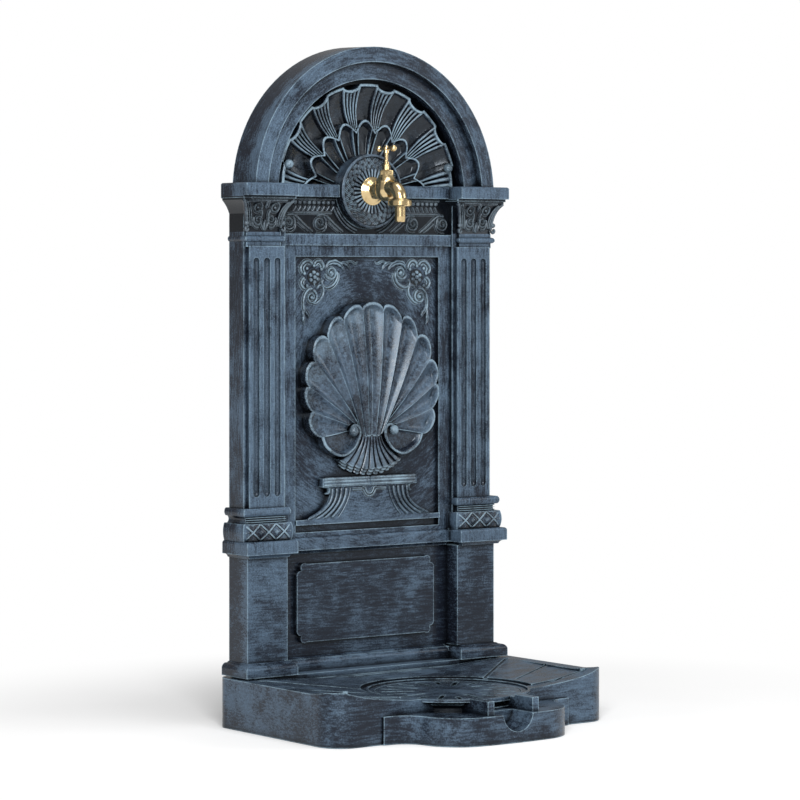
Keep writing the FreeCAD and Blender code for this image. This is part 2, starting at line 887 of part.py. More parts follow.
def outer_fan():
    """The wide fan: a bowl with a notched rim, a deeper lobe between each two groups of ribs."""
    rim_start = fan_rim_radius - fan_rim_width
    shape = turned_y([(0.0, -tympanum_depth), (fan_rim_radius, -tympanum_depth),
                      (fan_rim_radius, -fan_rim_depth), (rim_start, -fan_rim_depth),
                      (fan_curve_radius, -fan_curve_depth, fan_bowl_radius, -fan_bowl_depth),
                      (0.0, -fan_bowl_depth)], 0, arch_centre)
    lobe_room = room_before([(fan_lobe_start - 1.0, -fan_lobe_depth), (fan_bowl_radius, -fan_lobe_depth),
                             (fan_curve_radius, -fan_lobe_curve_depth, rim_start, -fan_rim_depth + 0.5)])
    groove_bowl = -fan_bowl_depth + fan_groove_depth
    groove_room = room_before([(inner_fan_cusp, groove_bowl), (fan_bowl_radius, groove_bowl),
                               (fan_curve_radius, -fan_curve_depth + fan_groove_depth,
                                rim_start, -fan_rim_depth + fan_groove_depth)])
    lobe = slot_upward(fan_lobe_start, fan_lobe_start_half, fan_lobe_end, fan_lobe_end_half)
    lobe = lobe.common(lobe_room)
    groove = box(-fan_groove_half, fan_groove_half, -arch_depth, -tympanum_depth,
                 arch_centre + inner_fan_cusp, arch_centre + fan_end_radius - fan_rim_width)
    groove = groove.common(groove_room)
    notch = rod_y(fan_notch_radius, -arch_depth, -tympanum_depth, 0, arch_centre + fan_notch_centre)
    tools = []
    for index in range(fan_lobes):
        tools.append(turned_about_arch(lobe, fan_step * (index - (fan_lobes - 1) / 2)))
    for index in range(fan_lobes + 1):
        angle = fan_step * (index - fan_lobes / 2)
        tools.append(turned_about_arch(notch, angle))
        for offset in (-fan_groove_offset, fan_groove_offset):
            shifted = groove.translated(Vector(offset, 0, 0))
            tools.append(turned_about_arch(shifted, angle))
    trim = tube_y(arch_inner_radius, fan_end_radius, -arch_depth, -tympanum_depth, 0, arch_centre)
    ends = box(-arch_inner_radius, arch_inner_radius, -arch_depth, -tympanum_depth,
               cornice_bottom, arch_centre + fan_ball_height)
    return carved(shape, tools + [trim.common(ends)])


def inner_fan_plate():
    edge = scalloped_edge(arch_centre, inner_fan_cusp, inner_fan_tip, inner_fan_step, inner_fan_lobes)
    return prism_y(edge, -inner_fan_depth, -tympanum_depth)


def inner_fan():
    """The raised fan: its face falls towards the middle, with a cup in each lobe and a line between them."""
    face_room = room_before([(0.0, -inner_fan_throat_depth), (inner_fan_throat, -inner_fan_throat_depth),
                             (inner_fan_middle, -inner_fan_middle_depth, inner_fan_crest, -inner_fan_depth)])
    cup_room = room_before([(inner_cup_start - 1.0, -inner_cup_depth), (inner_cup_flat_end, -inner_cup_depth),
                            (inner_cup_curve_radius, -inner_cup_curve_depth,
                             inner_cup_end + 1.0, -inner_fan_depth)])
    cup = slot_upward(inner_cup_start, inner_cup_start_half, inner_cup_end, inner_cup_end_half)
    cup = cup.common(cup_room)
    groove_room = room_before([(inner_fan_throat, -inner_fan_throat_depth + inner_groove_depth),
                               (inner_fan_middle, -inner_fan_middle_depth + inner_groove_depth,
                                inner_fan_crest, -inner_fan_depth + inner_groove_depth)])
    groove = box(-inner_groove_half, inner_groove_half, -arch_depth, -tympanum_depth,
                 arch_centre + inner_cup_start, arch_centre + inner_fan_tip).common(groove_room)
    tools = [face_room]
    for index in range(inner_fan_lobes):
        tools.append(turned_about_arch(cup, inner_fan_step * (index - (inner_fan_lobes - 1) / 2)))
    for index in range(1, inner_fan_lobes):
        tools.append(turned_about_arch(groove, inner_fan_step * (index - inner_fan_lobes / 2)))
    return carved(inner_fan_plate(), tools)


def tympanum_relief():
    """The double fan: a wide outer fan and a raised inner fan, with a ball at each end."""
    above = box(-arch_inner_radius, arch_inner_radius, -arch_depth, -tympanum_depth,
                cornice_top, arch_centre + arch_inner_radius)
    rosette_space = rod_y(rosette_radius + 2.0, -arch_depth, 0, 0, tap_height)
    outer = outer_fan().cut(inner_fan_plate()).common(above)
    inner = inner_fan().common(above).cut(rosette_space)
    shape = outer.fuse(inner)
    ball_z = arch_centre + fan_ball_height
    for x in (-fan_ball_x, fan_ball_x):
        stem = rod_y(fan_ball_radius, -fan_ball_depth, -tympanum_depth, x, ball_z)
        shape = shape.fuse(stem.fuse(Part.makeSphere(fan_ball_radius, Vector(x, -fan_ball_depth, ball_z))))
    return shape.cut(relief_pilot_holes(tympanum_depth))


def relief_pilot_holes(plane):
    holes = []
    for x, z, own_plane in relief_screw_points():
        if own_plane == plane:
            holes.append(rod_y(screw_shank + screw_hole_clearance,
                               -plane - relief_screw_length + wall, -plane + 1.0, x, z))
    return joined(holes)


def scallop_shell():
    """The applied scallop: scooped lobes in a scalloped rim, over a fluted foot with two scroll eyes."""
    face = panel_depth + scallop_rise
    edge = scalloped_edge(scallop_centre, scallop_cusp_radius, scallop_tip_radius,
                          scallop_step, scallop_lobes)
    last_end = (scallop_throat_half, scallop_throat_z - scallop_throat_drop)
    left_low = (-scallop_last_low_x, scallop_last_low_z, -last_end[0], last_end[1])
    right_low = (scallop_last_low_x, scallop_last_low_z) + edge[0]
    plate = prism_y(edge + [left_low, last_end, right_low], -face, -panel_depth)
    cuts = []
    half_count = (scallop_lobes - 1) / 2
    for index in range(scallop_lobes):
        step = index - half_count
        share = step / (half_count + 0.5)
        root = (scallop_throat_half * share, scallop_throat_z + scallop_throat_bow * share * share)
        tip = polar(scallop_centre, scallop_flute_centre, scallop_step * step)
        cuts.append(scoop(root, tip, scallop_flute_root_half, scallop_flute_half,
                          scallop_flute_root_depth, scallop_flute_depth, face))
    last_tip = (scallop_last_low_x - 1.0, scallop_last_low_z + 18.0)
    last_root = (scallop_eye_x + 3.0, scallop_eye_z - 3.0)
    last = scoop(last_root, last_tip, scallop_eye_radius, scallop_flute_half + 1.5,
                 scallop_flute_root_depth, scallop_flute_depth, face)
    cuts.extend(both_sides(last))
    plate = carved(plate, cuts)
    foot_half = [(0.0, scallop_foot_bottom),
                 (scallop_foot_flat, scallop_foot_bottom + 1.5),
                 (scallop_foot_half - 4.0, scallop_foot_wide_z - 12.0,
                  scallop_foot_half, scallop_foot_wide_z),
                 (scallop_foot_waist, scallop_foot_wide_z + 9.0,
                  scallop_throat_half - 4.0, scallop_throat_z - 3.0),
                 (0.0, scallop_throat_z - 3.0)]
    foot_face = -panel_depth - scallop_foot_rise
    foot = prism_y(foot_half, foot_face, -panel_depth)
    foot = foot.fuse(mirrored(foot))
    grooves = []
    for index in range(scallop_foot_grooves):
        step = index - (scallop_foot_grooves - 1) / 2
        top = Vector(scallop_foot_groove_top * step, foot_face, scallop_throat_z)
        bottom = Vector(scallop_foot_groove_bottom * step, foot_face, scallop_foot_bottom)
        grooves.append(rod(scallop_foot_groove_radius, bottom, top))
    foot = carved(foot, grooves)
    eyes = []
    for x in (-scallop_eye_x, scallop_eye_x):
        centre = Vector(x, -face + 2.0, scallop_eye_z)
        eyes.append(Part.makeSphere(scallop_eye_radius, centre))
        eyes.append(rod_y(scallop_eye_radius, centre.y, -panel_depth, x, scallop_eye_z))
    shape = plate.fuse(foot)
    for eye in eyes:
        shape = shape.fuse(eye)
    return shape.cut(relief_pilot_holes(panel_depth))


def tap_rosette():
    """The thick medallion: a raised rim round a sunburst of flutes, with a flat hub for the tap."""
    back = -tympanum_depth
    edge = rosette_radius
    points = [(tail_radius + tail_clearance, back), (edge, back), (edge, -rosette_front + 1.5),
              (edge - 0.5, -rosette_front + 0.4, edge - 1.5, -rosette_front),
              (edge - rosette_rim, -rosette_front), (edge - rosette_rim - 1.0, -rosette_front + 2.0),
              (rosette_dish_radius, -rosette_front + rosette_sink),
              (flange_radius + 3.0, -rosette_hub_front - 1.0),
              (flange_radius + 1.0, -rosette_hub_front), (tail_radius + tail_clearance, -rosette_hub_front)]
    shape = turned_y(points, 0, tap_height)
    for index in range(rosette_flutes):
        angle = 2 * math.pi * index / rosette_flutes
        way = Vector(math.cos(angle), 0, math.sin(angle))
        middle = Vector(0, -rosette_front + 1.5, tap_height)
        groove = rod(rosette_flute_depth, middle + way * (flange_radius + 4.0),
                     middle + way * rosette_flute_end)
        shape = shape.cut(groove)
    return shape


def tap_body():
    """The brass casting: tail, wall flange, neck, valve chamber and down-turned spout."""
    face = -rosette_hub_front - gasket_thickness
    edge = face - flange_edge
    dome = edge - flange_dome
    axis_y = -tap_reach
    flange = [(0.0, tail_rear), (tail_radius - 0.8, tail_rear), (tail_radius, tail_rear - 0.8),
              (tail_radius, face), (flange_radius, face), (flange_radius, edge),
              (flange_radius - 3.0, dome + 1.0, tap_neck_radius + 2.0, dome),
              (tap_neck_radius, dome - 1.5), (tap_neck_radius, axis_y), (0.0, axis_y)]
    shape = turned_y(flange, 0, tap_height)
    chamber = [(0.0, chamber_bottom), (chamber_radius - 4.0, chamber_bottom),
               (chamber_radius - 1.0, chamber_bottom + 1.5, chamber_radius, chamber_bottom + 5.0),
               (chamber_radius, chamber_top), (0.0, chamber_top)]
    shape = shape.fuse(turned_z(chamber, 0, axis_y))
    spout = spout_tube(spout_radius, axis_y - 4.0, spout_end_bottom + 1.0)
    end = [(0.0, spout_end_bottom), (spout_end_radius, spout_end_bottom), (spout_end_radius, spout_end_top),
           (spout_radius, spout_end_top + 2.0), (0.0, spout_end_top + 2.0)]
    shape = joined([shape, spout, turned_z(end, 0, -outlet_reach)])
    inlet = rod_y(water_bore, axis_y + 2.0, tail_rear + 1.0, 0, tap_height)
    lower = rod_z(lower_bore, chamber_bottom + 3.5, seat_bottom, 0, axis_y)
    seat = rod_z(seat_bore, seat_bottom - 1.0, seat_height + 1.0, 0, axis_y)
    upper = rod_z(chamber_bore, seat_height, chamber_top + 1.0, 0, axis_y)
    bend_y = -outlet_reach + spout_bend_radius
    port = rod(port_radius, Vector(0, axis_y - 4.0, seat_height + 4.5), Vector(0, bend_y - 2.0, spout_height))
    water_way = spout_tube(water_bore, bend_y + 0.5, spout_end_bottom - 1.0)
    return shape.cut(joined([inlet, lower, seat, upper])).cut(port).cut(water_way)


def spout_tube(radius, start_y, end_z):
    """A level run, a quarter bend and a short drop, as one solid."""
    bend_y = -outlet_reach + spout_bend_radius
    bend_z = spout_height - spout_bend_radius
    bend = Part.makeTorus(spout_bend_radius, radius, Vector(0, bend_y, bend_z), X_AXIS)
    far = spout_bend_radius + radius + 1.0
    quarter = box(-far, far, bend_y - far, bend_y, bend_z, bend_z + far)
    run = rod_y(radius, bend_y, start_y, 0, spout_height)
    drop = rod_z(radius, end_z, bend_z, 0, -outlet_reach)
    return joined([run, bend.common(quarter), drop])


def flange_gasket():
    return tube_y(gasket_radius, tail_radius + running_clearance,
                  -rosette_hub_front - gasket_thickness, -rosette_hub_front, 0, tap_height)


def back_washer():
    return tube_y(back_washer_radius, tail_radius + running_clearance, 0.0, back_washer_thickness,
                  0, tap_height)


def back_nut():
    start = back_washer_thickness
    end = start + back_nut_thickness
    body = hex_y(back_nut_flats, start, end, tap_height)
    near = back_nut_flats / 2 + 0.6
    far = back_nut_flats / 2 + 2.2
    round_off = turned_y([(0.0, start), (near, start), (far, start + 1.2), (far, end - 1.2),
                          (near, end), (0.0, end)], 0, tap_height)
    return body.common(round_off).cut(rod_y(tail_radius + running_clearance, start, end, 0, tap_height))


def inlet_nipple():
    """The hose nipple: a hexagon that screws on the tail, and a ridged spigot for a push-on coupling."""
    start = nipple_start
    hex_end = start + nipple_hex_length
    end = hex_end + nipple_length
    hexagon_part = hex_y(nipple_hex_flats, start, hex_end, tap_height)
    root = nipple_radius + nipple_root
    groove = nipple_radius - nipple_groove_depth
    spigot = [(0.0, hex_end - 0.5), (root, hex_end - 0.5), (root, hex_end + 1.5),
              (nipple_radius, hex_end + 1.5), (nipple_radius, end - nipple_groove_far),
              (groove, end - nipple_groove_far), (groove, end - nipple_groove_near),
              (nipple_radius, end - nipple_groove_near), (nipple_radius, end - 1.0),
              (nipple_radius - 1.0, end), (0.0, end)]
    shape = hexagon_part.fuse(turned_y(spigot, 0, tap_height))
    socket = rod_y(tail_radius + running_clearance, start, tail_rear + inlet_seal_thickness, 0, tap_height)
    return shape.cut(socket).cut(rod_y(water_bore, start, end + 1.0, 0, tap_height))


def inlet_seal():
    return tube_y(tail_radius - 0.4, water_bore + 0.5, tail_rear, tail_rear + inlet_seal_thickness,
                  0, tap_height)


def bonnet():
    """The hexagonal head that screws in the valve chamber and guides the spindle."""
    axis_y = -tap_reach
    seat = chamber_top + bonnet_washer_thickness
    points = [(0.0, bonnet_skirt_bottom), (chamber_bore - running_clearance, bonnet_skirt_bottom),
              (chamber_bore - running_clearance, seat), (0.0, seat)]
    skirt = turned_z(points, 0, axis_y)
    head = hex_z(bonnet_flats, seat, bonnet_top, axis_y)
    dome = turned_z([(0.0, seat), (bonnet_flats / 2 + 1.7, seat), (bonnet_flats / 2 + 1.7, bonnet_top - 2.4),
                     (bonnet_flats / 2 - 1.5, bonnet_top), (0.0, bonnet_top)], 0, axis_y)
    neck = rod_z(gland_neck_radius, bonnet_top - 0.5, gland_neck_top, 0, axis_y)
    shape = joined([skirt, head.common(dome), neck])
    shape = shape.cut(rod_z(bonnet_skirt_bore, bonnet_skirt_bottom - 1, chamber_top - 0.5, 0, axis_y))
    shape = shape.cut(rod_z(thread_radius + running_clearance, chamber_top - 1, thread_stop, 0, axis_y))
    stem_bore = spindle_radius + running_clearance
    return shape.cut(rod_z(stem_bore, thread_stop - 1, gland_neck_top + 1, 0, axis_y))


def bonnet_washer():
    return tube_z(chamber_radius - 0.5, chamber_bore, chamber_top, chamber_top + bonnet_washer_thickness,
                  0, -tap_reach)


def gland_nut():
    axis_y = -tap_reach
    packing_top = gland_neck_top + packing_height
    body = hex_z(gland_flats, gland_bottom, gland_top, axis_y)
    crown = turned_z([(0.0, gland_bottom), (gland_flats / 2 + 0.5, gland_bottom),
                      (gland_flats / 2 + 0.5, gland_top - 3.4), (gland_flats / 2 - 0.7, gland_top - 2.2),
                      (gland_flats / 2 - 0.7, gland_top), (0.0, gland_top)], 0, axis_y)
    shape = body.common(crown)
    shape = shape.cut(rod_z(gland_neck_radius + running_clearance, gland_bottom - 1, packing_top, 0, axis_y))
    return shape.cut(rod_z(spindle_radius + running_clearance, packing_top - 1, gland_top + 1, 0, axis_y))


def gland_packing():
    return tube_z(gland_neck_radius - 0.1, spindle_radius + running_clearance,
                  gland_neck_top, gland_neck_top + packing_height, 0, -tap_reach)


def spindle():
    """The spindle: a threaded foot, a plain stem and a blind hole for the jumper's stem."""
    axis_y = -tap_reach
    points = [(0.0, spindle_thread_bottom), (thread_radius - 0.5, spindle_thread_bottom),
              (thread_radius, spindle_thread_bottom + 0.5), (thread_radius, spindle_thread_top - 0.5),
              (thread_radius - 0.5, spindle_thread_top), (spindle_radius, spindle_thread_top),
              (spindle_radius, handle_height), (0.0, handle_height)]
    shape = turned_z(points, 0, axis_y)
    stem_top = spindle_thread_bottom + valve_stem_length + 0.3
    stem_bore = valve_stem_radius + running_clearance
    return shape.cut(rod_z(stem_bore, spindle_thread_bottom - 1, stem_top, 0, axis_y))


def tee_handle():
    """A cross bar with a ball at each end and a ball in the middle, on a short collar."""
    axis_y = -tap_reach
    centre = Vector(0, axis_y, handle_height)
    ends = [centre + Vector(0, side * handle_bar_half, 0) for side in (-1, 1)]
    bar = rod(handle_bar_radius, ends[0], ends[1])
    balls = [Part.makeSphere(handle_ball_radius, point) for point in ends + [centre]]
    collar = turned_z([(0.0, handle_hub_bottom), (handle_hub_radius - 0.6, handle_hub_bottom),
                       (handle_hub_radius, handle_hub_bottom + 0.8), (handle_hub_radius - 0.8, handle_height),
                       (0.0, handle_height)], 0, axis_y)
    shape = joined([bar, collar] + balls)
    ball_top = handle_height + handle_ball_radius
    bore = rod_z(spindle_radius + running_clearance, handle_hub_bottom - 1, handle_height, 0, axis_y)
    screw_bore = rod_z(handle_screw_shank + screw_hole_clearance, handle_height - 1, ball_top + 1, 0, axis_y)
    head_seat = rod_z(handle_screw_radius + 0.1, ball_top - handle_screw_sink, ball_top + 1, 0, axis_y)
    return shape.cut(bore).cut(screw_bore).cut(head_seat)


def handle_screw():
    """The small dome-headed screw that keeps the handle on the spindle."""
    seat = handle_height + handle_ball_radius - handle_screw_sink
    points = [(0.0, handle_height), (handle_screw_shank, handle_height), (handle_screw_shank, seat),
              (handle_screw_radius, seat),
              (handle_screw_radius, seat + 0.8), (handle_screw_radius - 0.7, seat + 1.5), (0.0, seat + 1.5)]
    return turned_z(points, 0, -tap_reach)


def jumper():
    """The valve disc with the stem that stands in the spindle."""
    disc_bottom = seat_height + valve_washer_thickness
    disc_top = disc_bottom + valve_disc_thickness
    disc = rod_z(valve_radius, disc_bottom, disc_top, 0, -tap_reach)
    stem = rod_z(valve_stem_radius, disc_top, spindle_thread_bottom + valve_stem_length, 0, -tap_reach)
    stud = rod_z(valve_stud_radius, seat_height + 0.3, disc_bottom, 0, -tap_reach)
    return joined([disc, stem, stud])


def valve_washer():
    return tube_z(valve_radius - 0.2, valve_stud_radius + running_clearance,
                  seat_height, seat_height + valve_washer_thickness, 0, -tap_reach)


def union_nut():
    """The large ring nut with a finely gripped edge."""
    axis_y = -outlet_reach
    points = [(0.0, union_bottom), (union_radius - 1.0, union_bottom), (union_radius, union_bottom + 1.0),
              (union_radius, union_top - 1.0), (union_radius - 1.0, union_top), (0.0, union_top)]
    shape = turned_z(points, 0, axis_y)
    shape = shape.cut(rod_z(spout_end_radius + running_clearance, union_bottom + union_lip,
                            union_top + 1, 0, axis_y))
    return shape.cut(rod_z(tail_shoulder_radius + running_clearance, union_bottom - 1, union_top, 0, axis_y))


def hose_tail():
    """The plain tube that a hose is pushed on, with the shoulder and collar that the union nut holds."""
    axis_y = -outlet_reach
    collar_bottom_z = union_bottom + union_lip
    collar_top_z = collar_bottom_z + tail_collar_thickness
    small = tail_tube_radius - tail_tube_taper
    points = [(tail_tube_bore, tail_tube_bottom), (small - 0.5, tail_tube_bottom),
              (small, tail_tube_bottom + 0.7), (tail_tube_radius, tail_tube_bottom + tail_taper_length),
              (tail_tube_radius, union_bottom - tail_shoulder_drop),
              (tail_shoulder_radius, union_bottom - tail_shoulder_drop / 2),
              (tail_shoulder_radius, collar_bottom_z), (tail_collar_radius, collar_bottom_z),
              (tail_collar_radius, collar_top_z), (tail_tube_bore, collar_top_z)]
    return turned_z(points, 0, axis_y)


def tail_seal():
    start = union_bottom + union_lip + tail_collar_thickness
    return tube_z(tail_collar_radius - 0.2, tail_tube_bore + 0.4, start, spout_end_bottom, 0, -outlet_reach)


# Basin
def basin_outline(grow):
    """Half of the tray's plan, from the rear middle round to the front middle."""
    half = basin_half + grow
    front = -basin_wall_front - grow
    rear = rear_corner + grow
    corner = front_corner + grow
    root = math.sqrt(0.5)
    return [(0.0, grow), (half - rear, grow),
            (half - rear + rear * root, grow - rear + rear * root, half, grow - rear),
            (half, front + corner),
            (half - corner + corner * root, front + corner - corner * root, half - corner, front),
            (0.0, front)]


def basin_tray():
    """The upper body of the tray, with its rim dipping along the front."""
    half = prism_z(basin_outline(0.0), 0.0, rim_corner_height)
    tray = half.fuse(mirrored(half))
    reach = basin_half + 5.0
    ramp_start = -rim_slope_rear
    ramp_end = -rim_slope_front
    middle = (ramp_start + ramp_end) / 2
    middle_height = (rim_height + rim_corner_height) / 2 - 0.3
    above_rim = prism_x([(5.0, rim_height), (ramp_start, rim_height),
                         (middle, middle_height, ramp_end, rim_corner_height),
                         (ramp_end, clear_above), (5.0, clear_above)], -reach, reach)
    dip = [(0.0, lip_height), (wing_inner, lip_height), (wing_outer, wing_height),
           (wing_rise_x, wing_rise_height),
           (wing_curve_x, wing_curve_height, rim_dip_start, rim_corner_height),
           (rim_dip_start, clear_above), (0.0, clear_above)]
    half_dip = prism_y(dip, -basin_wall_front - 5.0, -basin_wall_front + rim_width)
    tray = tray.cut(above_rim)
    return tray.cut(half_dip).cut(mirrored(half_dip))


def lower_body():
    """The lower body, whose bowed front stands forward of the tray."""
    half_plan = [(0.0, -basin_front),
                 (nose_half / 2, -basin_front + nose_fall / 4, nose_half, -basin_front + nose_fall),
                 (bow_curve_x, -bow_curve_front, bow_end_x, -bow_end_front),
                 (bow_straight_x, -bow_straight_front),
                 (bow_hollow_x, -bow_hollow_front, bow_foot_x, -bow_foot_front), (lower_half, -lower_face),
                 (lower_half, -lower_rear), (0.0, -lower_rear)]
    half = prism_z(half_plan, 0.0, ledge_height)
    return half.fuse(mirrored(half))


def dish_body():
    """The round bowl, undercut below its lip."""
    points = [(0.0, ledge_height - 5.0), (dish_foot_radius, ledge_height - 5.0),
              (dish_foot_radius, ledge_height + 3.0),
              (dish_foot_radius + 3.0, dish_lip_bottom - 3.5, dish_radius, dish_lip_bottom),
              (dish_radius, lip_height - 0.6), (dish_radius - 0.6, lip_height), (0.0, lip_height)]
    return turned_z(points, 0, -dish_centre)


def tile_grooves():
    """Three shallow grooves in each side of the tray's floor."""
    grooves = []
    for x0, y0, x1, y1, width in (wide_groove, middle_groove, front_groove):
        length = math.hypot(x1 - x0, y1 - y0)
        angle = math.degrees(math.atan2(y1 - y0, x1 - x0))
        bar = box(0, length, -width / 2, width / 2, ledge_height, clear_above)
        bar.rotate(Vector(0, 0, 0), Z_AXIS, angle)
        bar.translate(Vector(x0, y0, 0))
        grooves.extend(both_sides(bar))
    return joined(grooves).common(deck_cone(-tile_groove_depth))


def deck_cone(lift):
    """Everything above the sloping floor of the tray, lifted by a given height."""
    far = basin_half + basin_wall_front
    rise = deck_start_height + lift
    points = [(0.0, ring_height), (deck_start_radius, ring_height), (deck_start_radius, rise),
              (far, rise + deck_slope * (far - deck_start_radius)), (far, clear_above), (0.0, clear_above)]
    return turned_z(points, 0, -dish_centre)


def floor_prism():
    """The inside of the rim in plan."""
    half = basin_half - rim_width
    front = -basin_wall_front + rim_width
    corner = front_corner - rim_width
    root = math.sqrt(0.5)
    half_plan = [(0.0, -column_seat_depth), (half, -column_seat_depth), (half, front + corner),
                 (half - corner + corner * root, front + corner - corner * root, half - corner, front),
                 (0.0, front)]
    prism = prism_z(half_plan, ledge_height, clear_above)
    return prism.fuse(mirrored(prism))


def under_cells():
    """Pockets between the ribs of the tray's underside."""
    cells = []
    half_rib = rib / 2 + 0.5
    edge = basin_half - basin_wall
    columns = [0.0, under_rib_spacing_x, 2 * under_rib_spacing_x, edge + half_rib]
    rows = [-basin_wall + half_rib, -under_rib_spacing_y, -2 * under_rib_spacing_y,
            -basin_wall_front + basin_wall - half_rib]
    for column in range(3):
        for row in range(3):
            x0 = columns[column] + half_rib
            x1 = columns[column + 1] - half_rib
            y1 = rows[row] - half_rib
            y0 = rows[row + 1] + half_rib
            top = sump_floor - basin_wall
            if column == 2 and row == 0:
                top = deck_seat - basin_wall
            cells.extend(both_sides(box(x0, x1, y0, y1, -1.0, top)))
    front_cell = box(notch_radius + basin_wall, front_cell_half, -front_cell_front,
                     -basin_wall_front - basin_wall,
                     -1.0, ledge_height - basin_wall)
    cells.extend(both_sides(front_cell))
    half_inside = prism_z(basin_outline(-basin_wall), -1.0, 60.0)
    inside = half_inside.fuse(mirrored(half_inside))
    rear_cells = joined(cells[:-2]).common(inside)
    return rear_cells.fuse(joined(cells[-2:]))


def basin():
    """The tray in one moulding: rim, sloping floor, bowl, spout channel and notch."""
    shape = joined([basin_tray(), lower_body()])
    floor_cut = deck_cone(0.0).common(floor_prism())
    shape = shape.cut(floor_cut)
    seat_cut = box(-neck_half - 1.0, neck_half + 1.0, -column_seat_depth, 5.0, deck_seat, clear_above)
    shape = shape.cut(seat_cut)
    shape = shape.fuse(dish_body())
    shape = shape.cut(tile_grooves())
    wall_block = box(channel_half, channel_wall_outer, -channel_wall_front, -dish_centre - 60.0,
                     ledge_height - 2.0, lip_height + 0.5)
    shape = joined([shape] + both_sides(wall_block))
    dish_top = rod_z(dish_radius - 3.0, ring_height, clear_above, 0, -dish_centre)
    seat = rod_z(grate_radius + grate_clearance, seat_ledge_height, clear_above, 0, -dish_centre)
    sump = rod_z(sump_radius, sump_floor, clear_above, 0, -dish_centre)
    channel = box(-channel_half, channel_half, -basin_front - 5.0, -dish_centre - sump_radius + 6.0,
                  sump_floor, clear_above)
    notch = rod_y(notch_radius, -basin_front - 5.0, -channel_edge, 0, notch_height)
    shape = shape.cut(joined([dish_top, seat, sump, channel, notch]))
    shape = shape.cut(under_cells())
    holes = []
    for x, y in column_screw_points():
        holes.append(rod_z(screw_shank + 0.3, deck_seat - basin_wall - 2.0, deck_seat + 1.0, x, y))
    return shape.cut(joined(holes))


def drain_grate():
    """The slotted grate: long and short slots by turns round a solid disc."""
    disc = turned_z([(0.0, seat_ledge_height), (grate_radius, seat_ledge_height),
                     (grate_radius, ring_height - 0.6), (grate_radius - 0.6, ring_height),
                     (0.0, ring_height)], 0, -dish_centre)
    slots = []
    for index in range(grate_slots):
        angle = 360.0 * (index + 0.5) / grate_slots
        start = grate_disc_radius if index % 2 == 0 else grate_short_start
        half = grate_slot_width / 2
        slot = box(start + half, grate_slot_outer - half, -half, half, seat_ledge_height - 1, ring_height + 1)
        tip = rod_z(half, seat_ledge_height - 1, ring_height + 1, grate_slot_outer - half, 0)
        root = rod_z(half, seat_ledge_height - 1, ring_height + 1, start + half, 0)
        cutter = joined([slot, tip, root])
        cutter.rotate(Vector(0, 0, 0), Z_AXIS, angle)
        cutter.translate(Vector(0, -dish_centre, 0))
        slots.append(cutter)
    return disc.cut(joined(slots))


def main():
    os.makedirs("parts", exist_ok=True)
    save("basin", basin())
    save("drain_grate", drain_grate())
    save("column_front", column_front())
    save("back_panel", back_panel())
    save("tympanum_relief", tympanum_relief())
    save("tap_rosette", tap_rosette())
    save("scallop_shell", scallop_shell())
    save("column_screws", column_screws())
    save("panel_screws", panel_screws())
    save("relief_screws", relief_screws())
    save("tap_body", tap_body())
    save("flange_gasket", flange_gasket())
    save("back_washer", back_washer())
    save("back_nut", back_nut())
    save("inlet_nipple", inlet_nipple())
    save("inlet_seal", inlet_seal())
    save("bonnet", bonnet())
    save("bonnet_washer", bonnet_washer())
    save("gland_nut", gland_nut())
    save("gland_packing", gland_packing())
    save("spindle", spindle())
    save("tee_handle", tee_handle())
    save("handle_screw", handle_screw())
    save("jumper", jumper())
    save("valve_washer", valve_washer())
    save("union_nut", union_nut())
    save("hose_tail", hose_tail())
    save("tail_seal", tail_seal())


main()
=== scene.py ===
"""Dresses a garden wall fountain of brushed, patinated plastic with a brass tap, and lights it.

Lengths in the classes that build shapes are millimetres. Y is 0 at the rear plane of the column and
falls towards the front, X is 0 in the middle plane and Z is 0 on the ground. to_scene turns them into
the frame's metres, which the finishes and the studio use.
"""
import logging
import math
from collections.abc import Callable
from dataclasses import dataclass, field
from enum import Enum

import bmesh
import bpy
import numpy as np
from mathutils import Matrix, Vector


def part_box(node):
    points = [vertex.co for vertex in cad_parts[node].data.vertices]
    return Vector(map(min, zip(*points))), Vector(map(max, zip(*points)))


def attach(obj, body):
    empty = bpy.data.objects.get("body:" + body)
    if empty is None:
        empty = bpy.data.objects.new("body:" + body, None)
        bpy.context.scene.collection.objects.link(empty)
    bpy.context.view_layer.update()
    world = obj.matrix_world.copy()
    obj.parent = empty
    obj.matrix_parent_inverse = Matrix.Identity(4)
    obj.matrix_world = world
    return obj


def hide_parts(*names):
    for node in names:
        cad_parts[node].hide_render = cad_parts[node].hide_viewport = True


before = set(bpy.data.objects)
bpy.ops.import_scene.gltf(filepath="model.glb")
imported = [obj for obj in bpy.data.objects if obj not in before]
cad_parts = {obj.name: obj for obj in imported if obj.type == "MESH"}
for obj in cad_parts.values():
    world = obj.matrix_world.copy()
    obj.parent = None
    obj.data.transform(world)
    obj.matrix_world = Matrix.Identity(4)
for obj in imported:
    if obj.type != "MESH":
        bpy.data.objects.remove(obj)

log = logging.getLogger("fountain")

Array = np.ndarray
Point = tuple[float, float]
Place = tuple[float, float, float]
Line = tuple[Point, ...]
Colour = tuple[float, float, float]
Front = Callable[[Array, Array], Array]
Socket = bpy.types.NodeSocket

SIDES = (-1.0, 1.0)
WHITE = (1.0, 1.0, 1.0, 1.0)


# Numbers and places
def rear_plane() -> float:
    """Depth of the column's rear plane in the frame, in metres."""
    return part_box("back_panel")[1].y


def to_scene(points: Array) -> Array:
    """Millimetres from the rear plane, turned into metres of the frame.

    Args:
        points: array whose last axis holds x, y and z.

    Returns:
        The same array in metres, moved so that y = 0 lies on the rear plane.
    """
    return points * 0.001 + np.array([0.0, rear_plane(), 0.0])


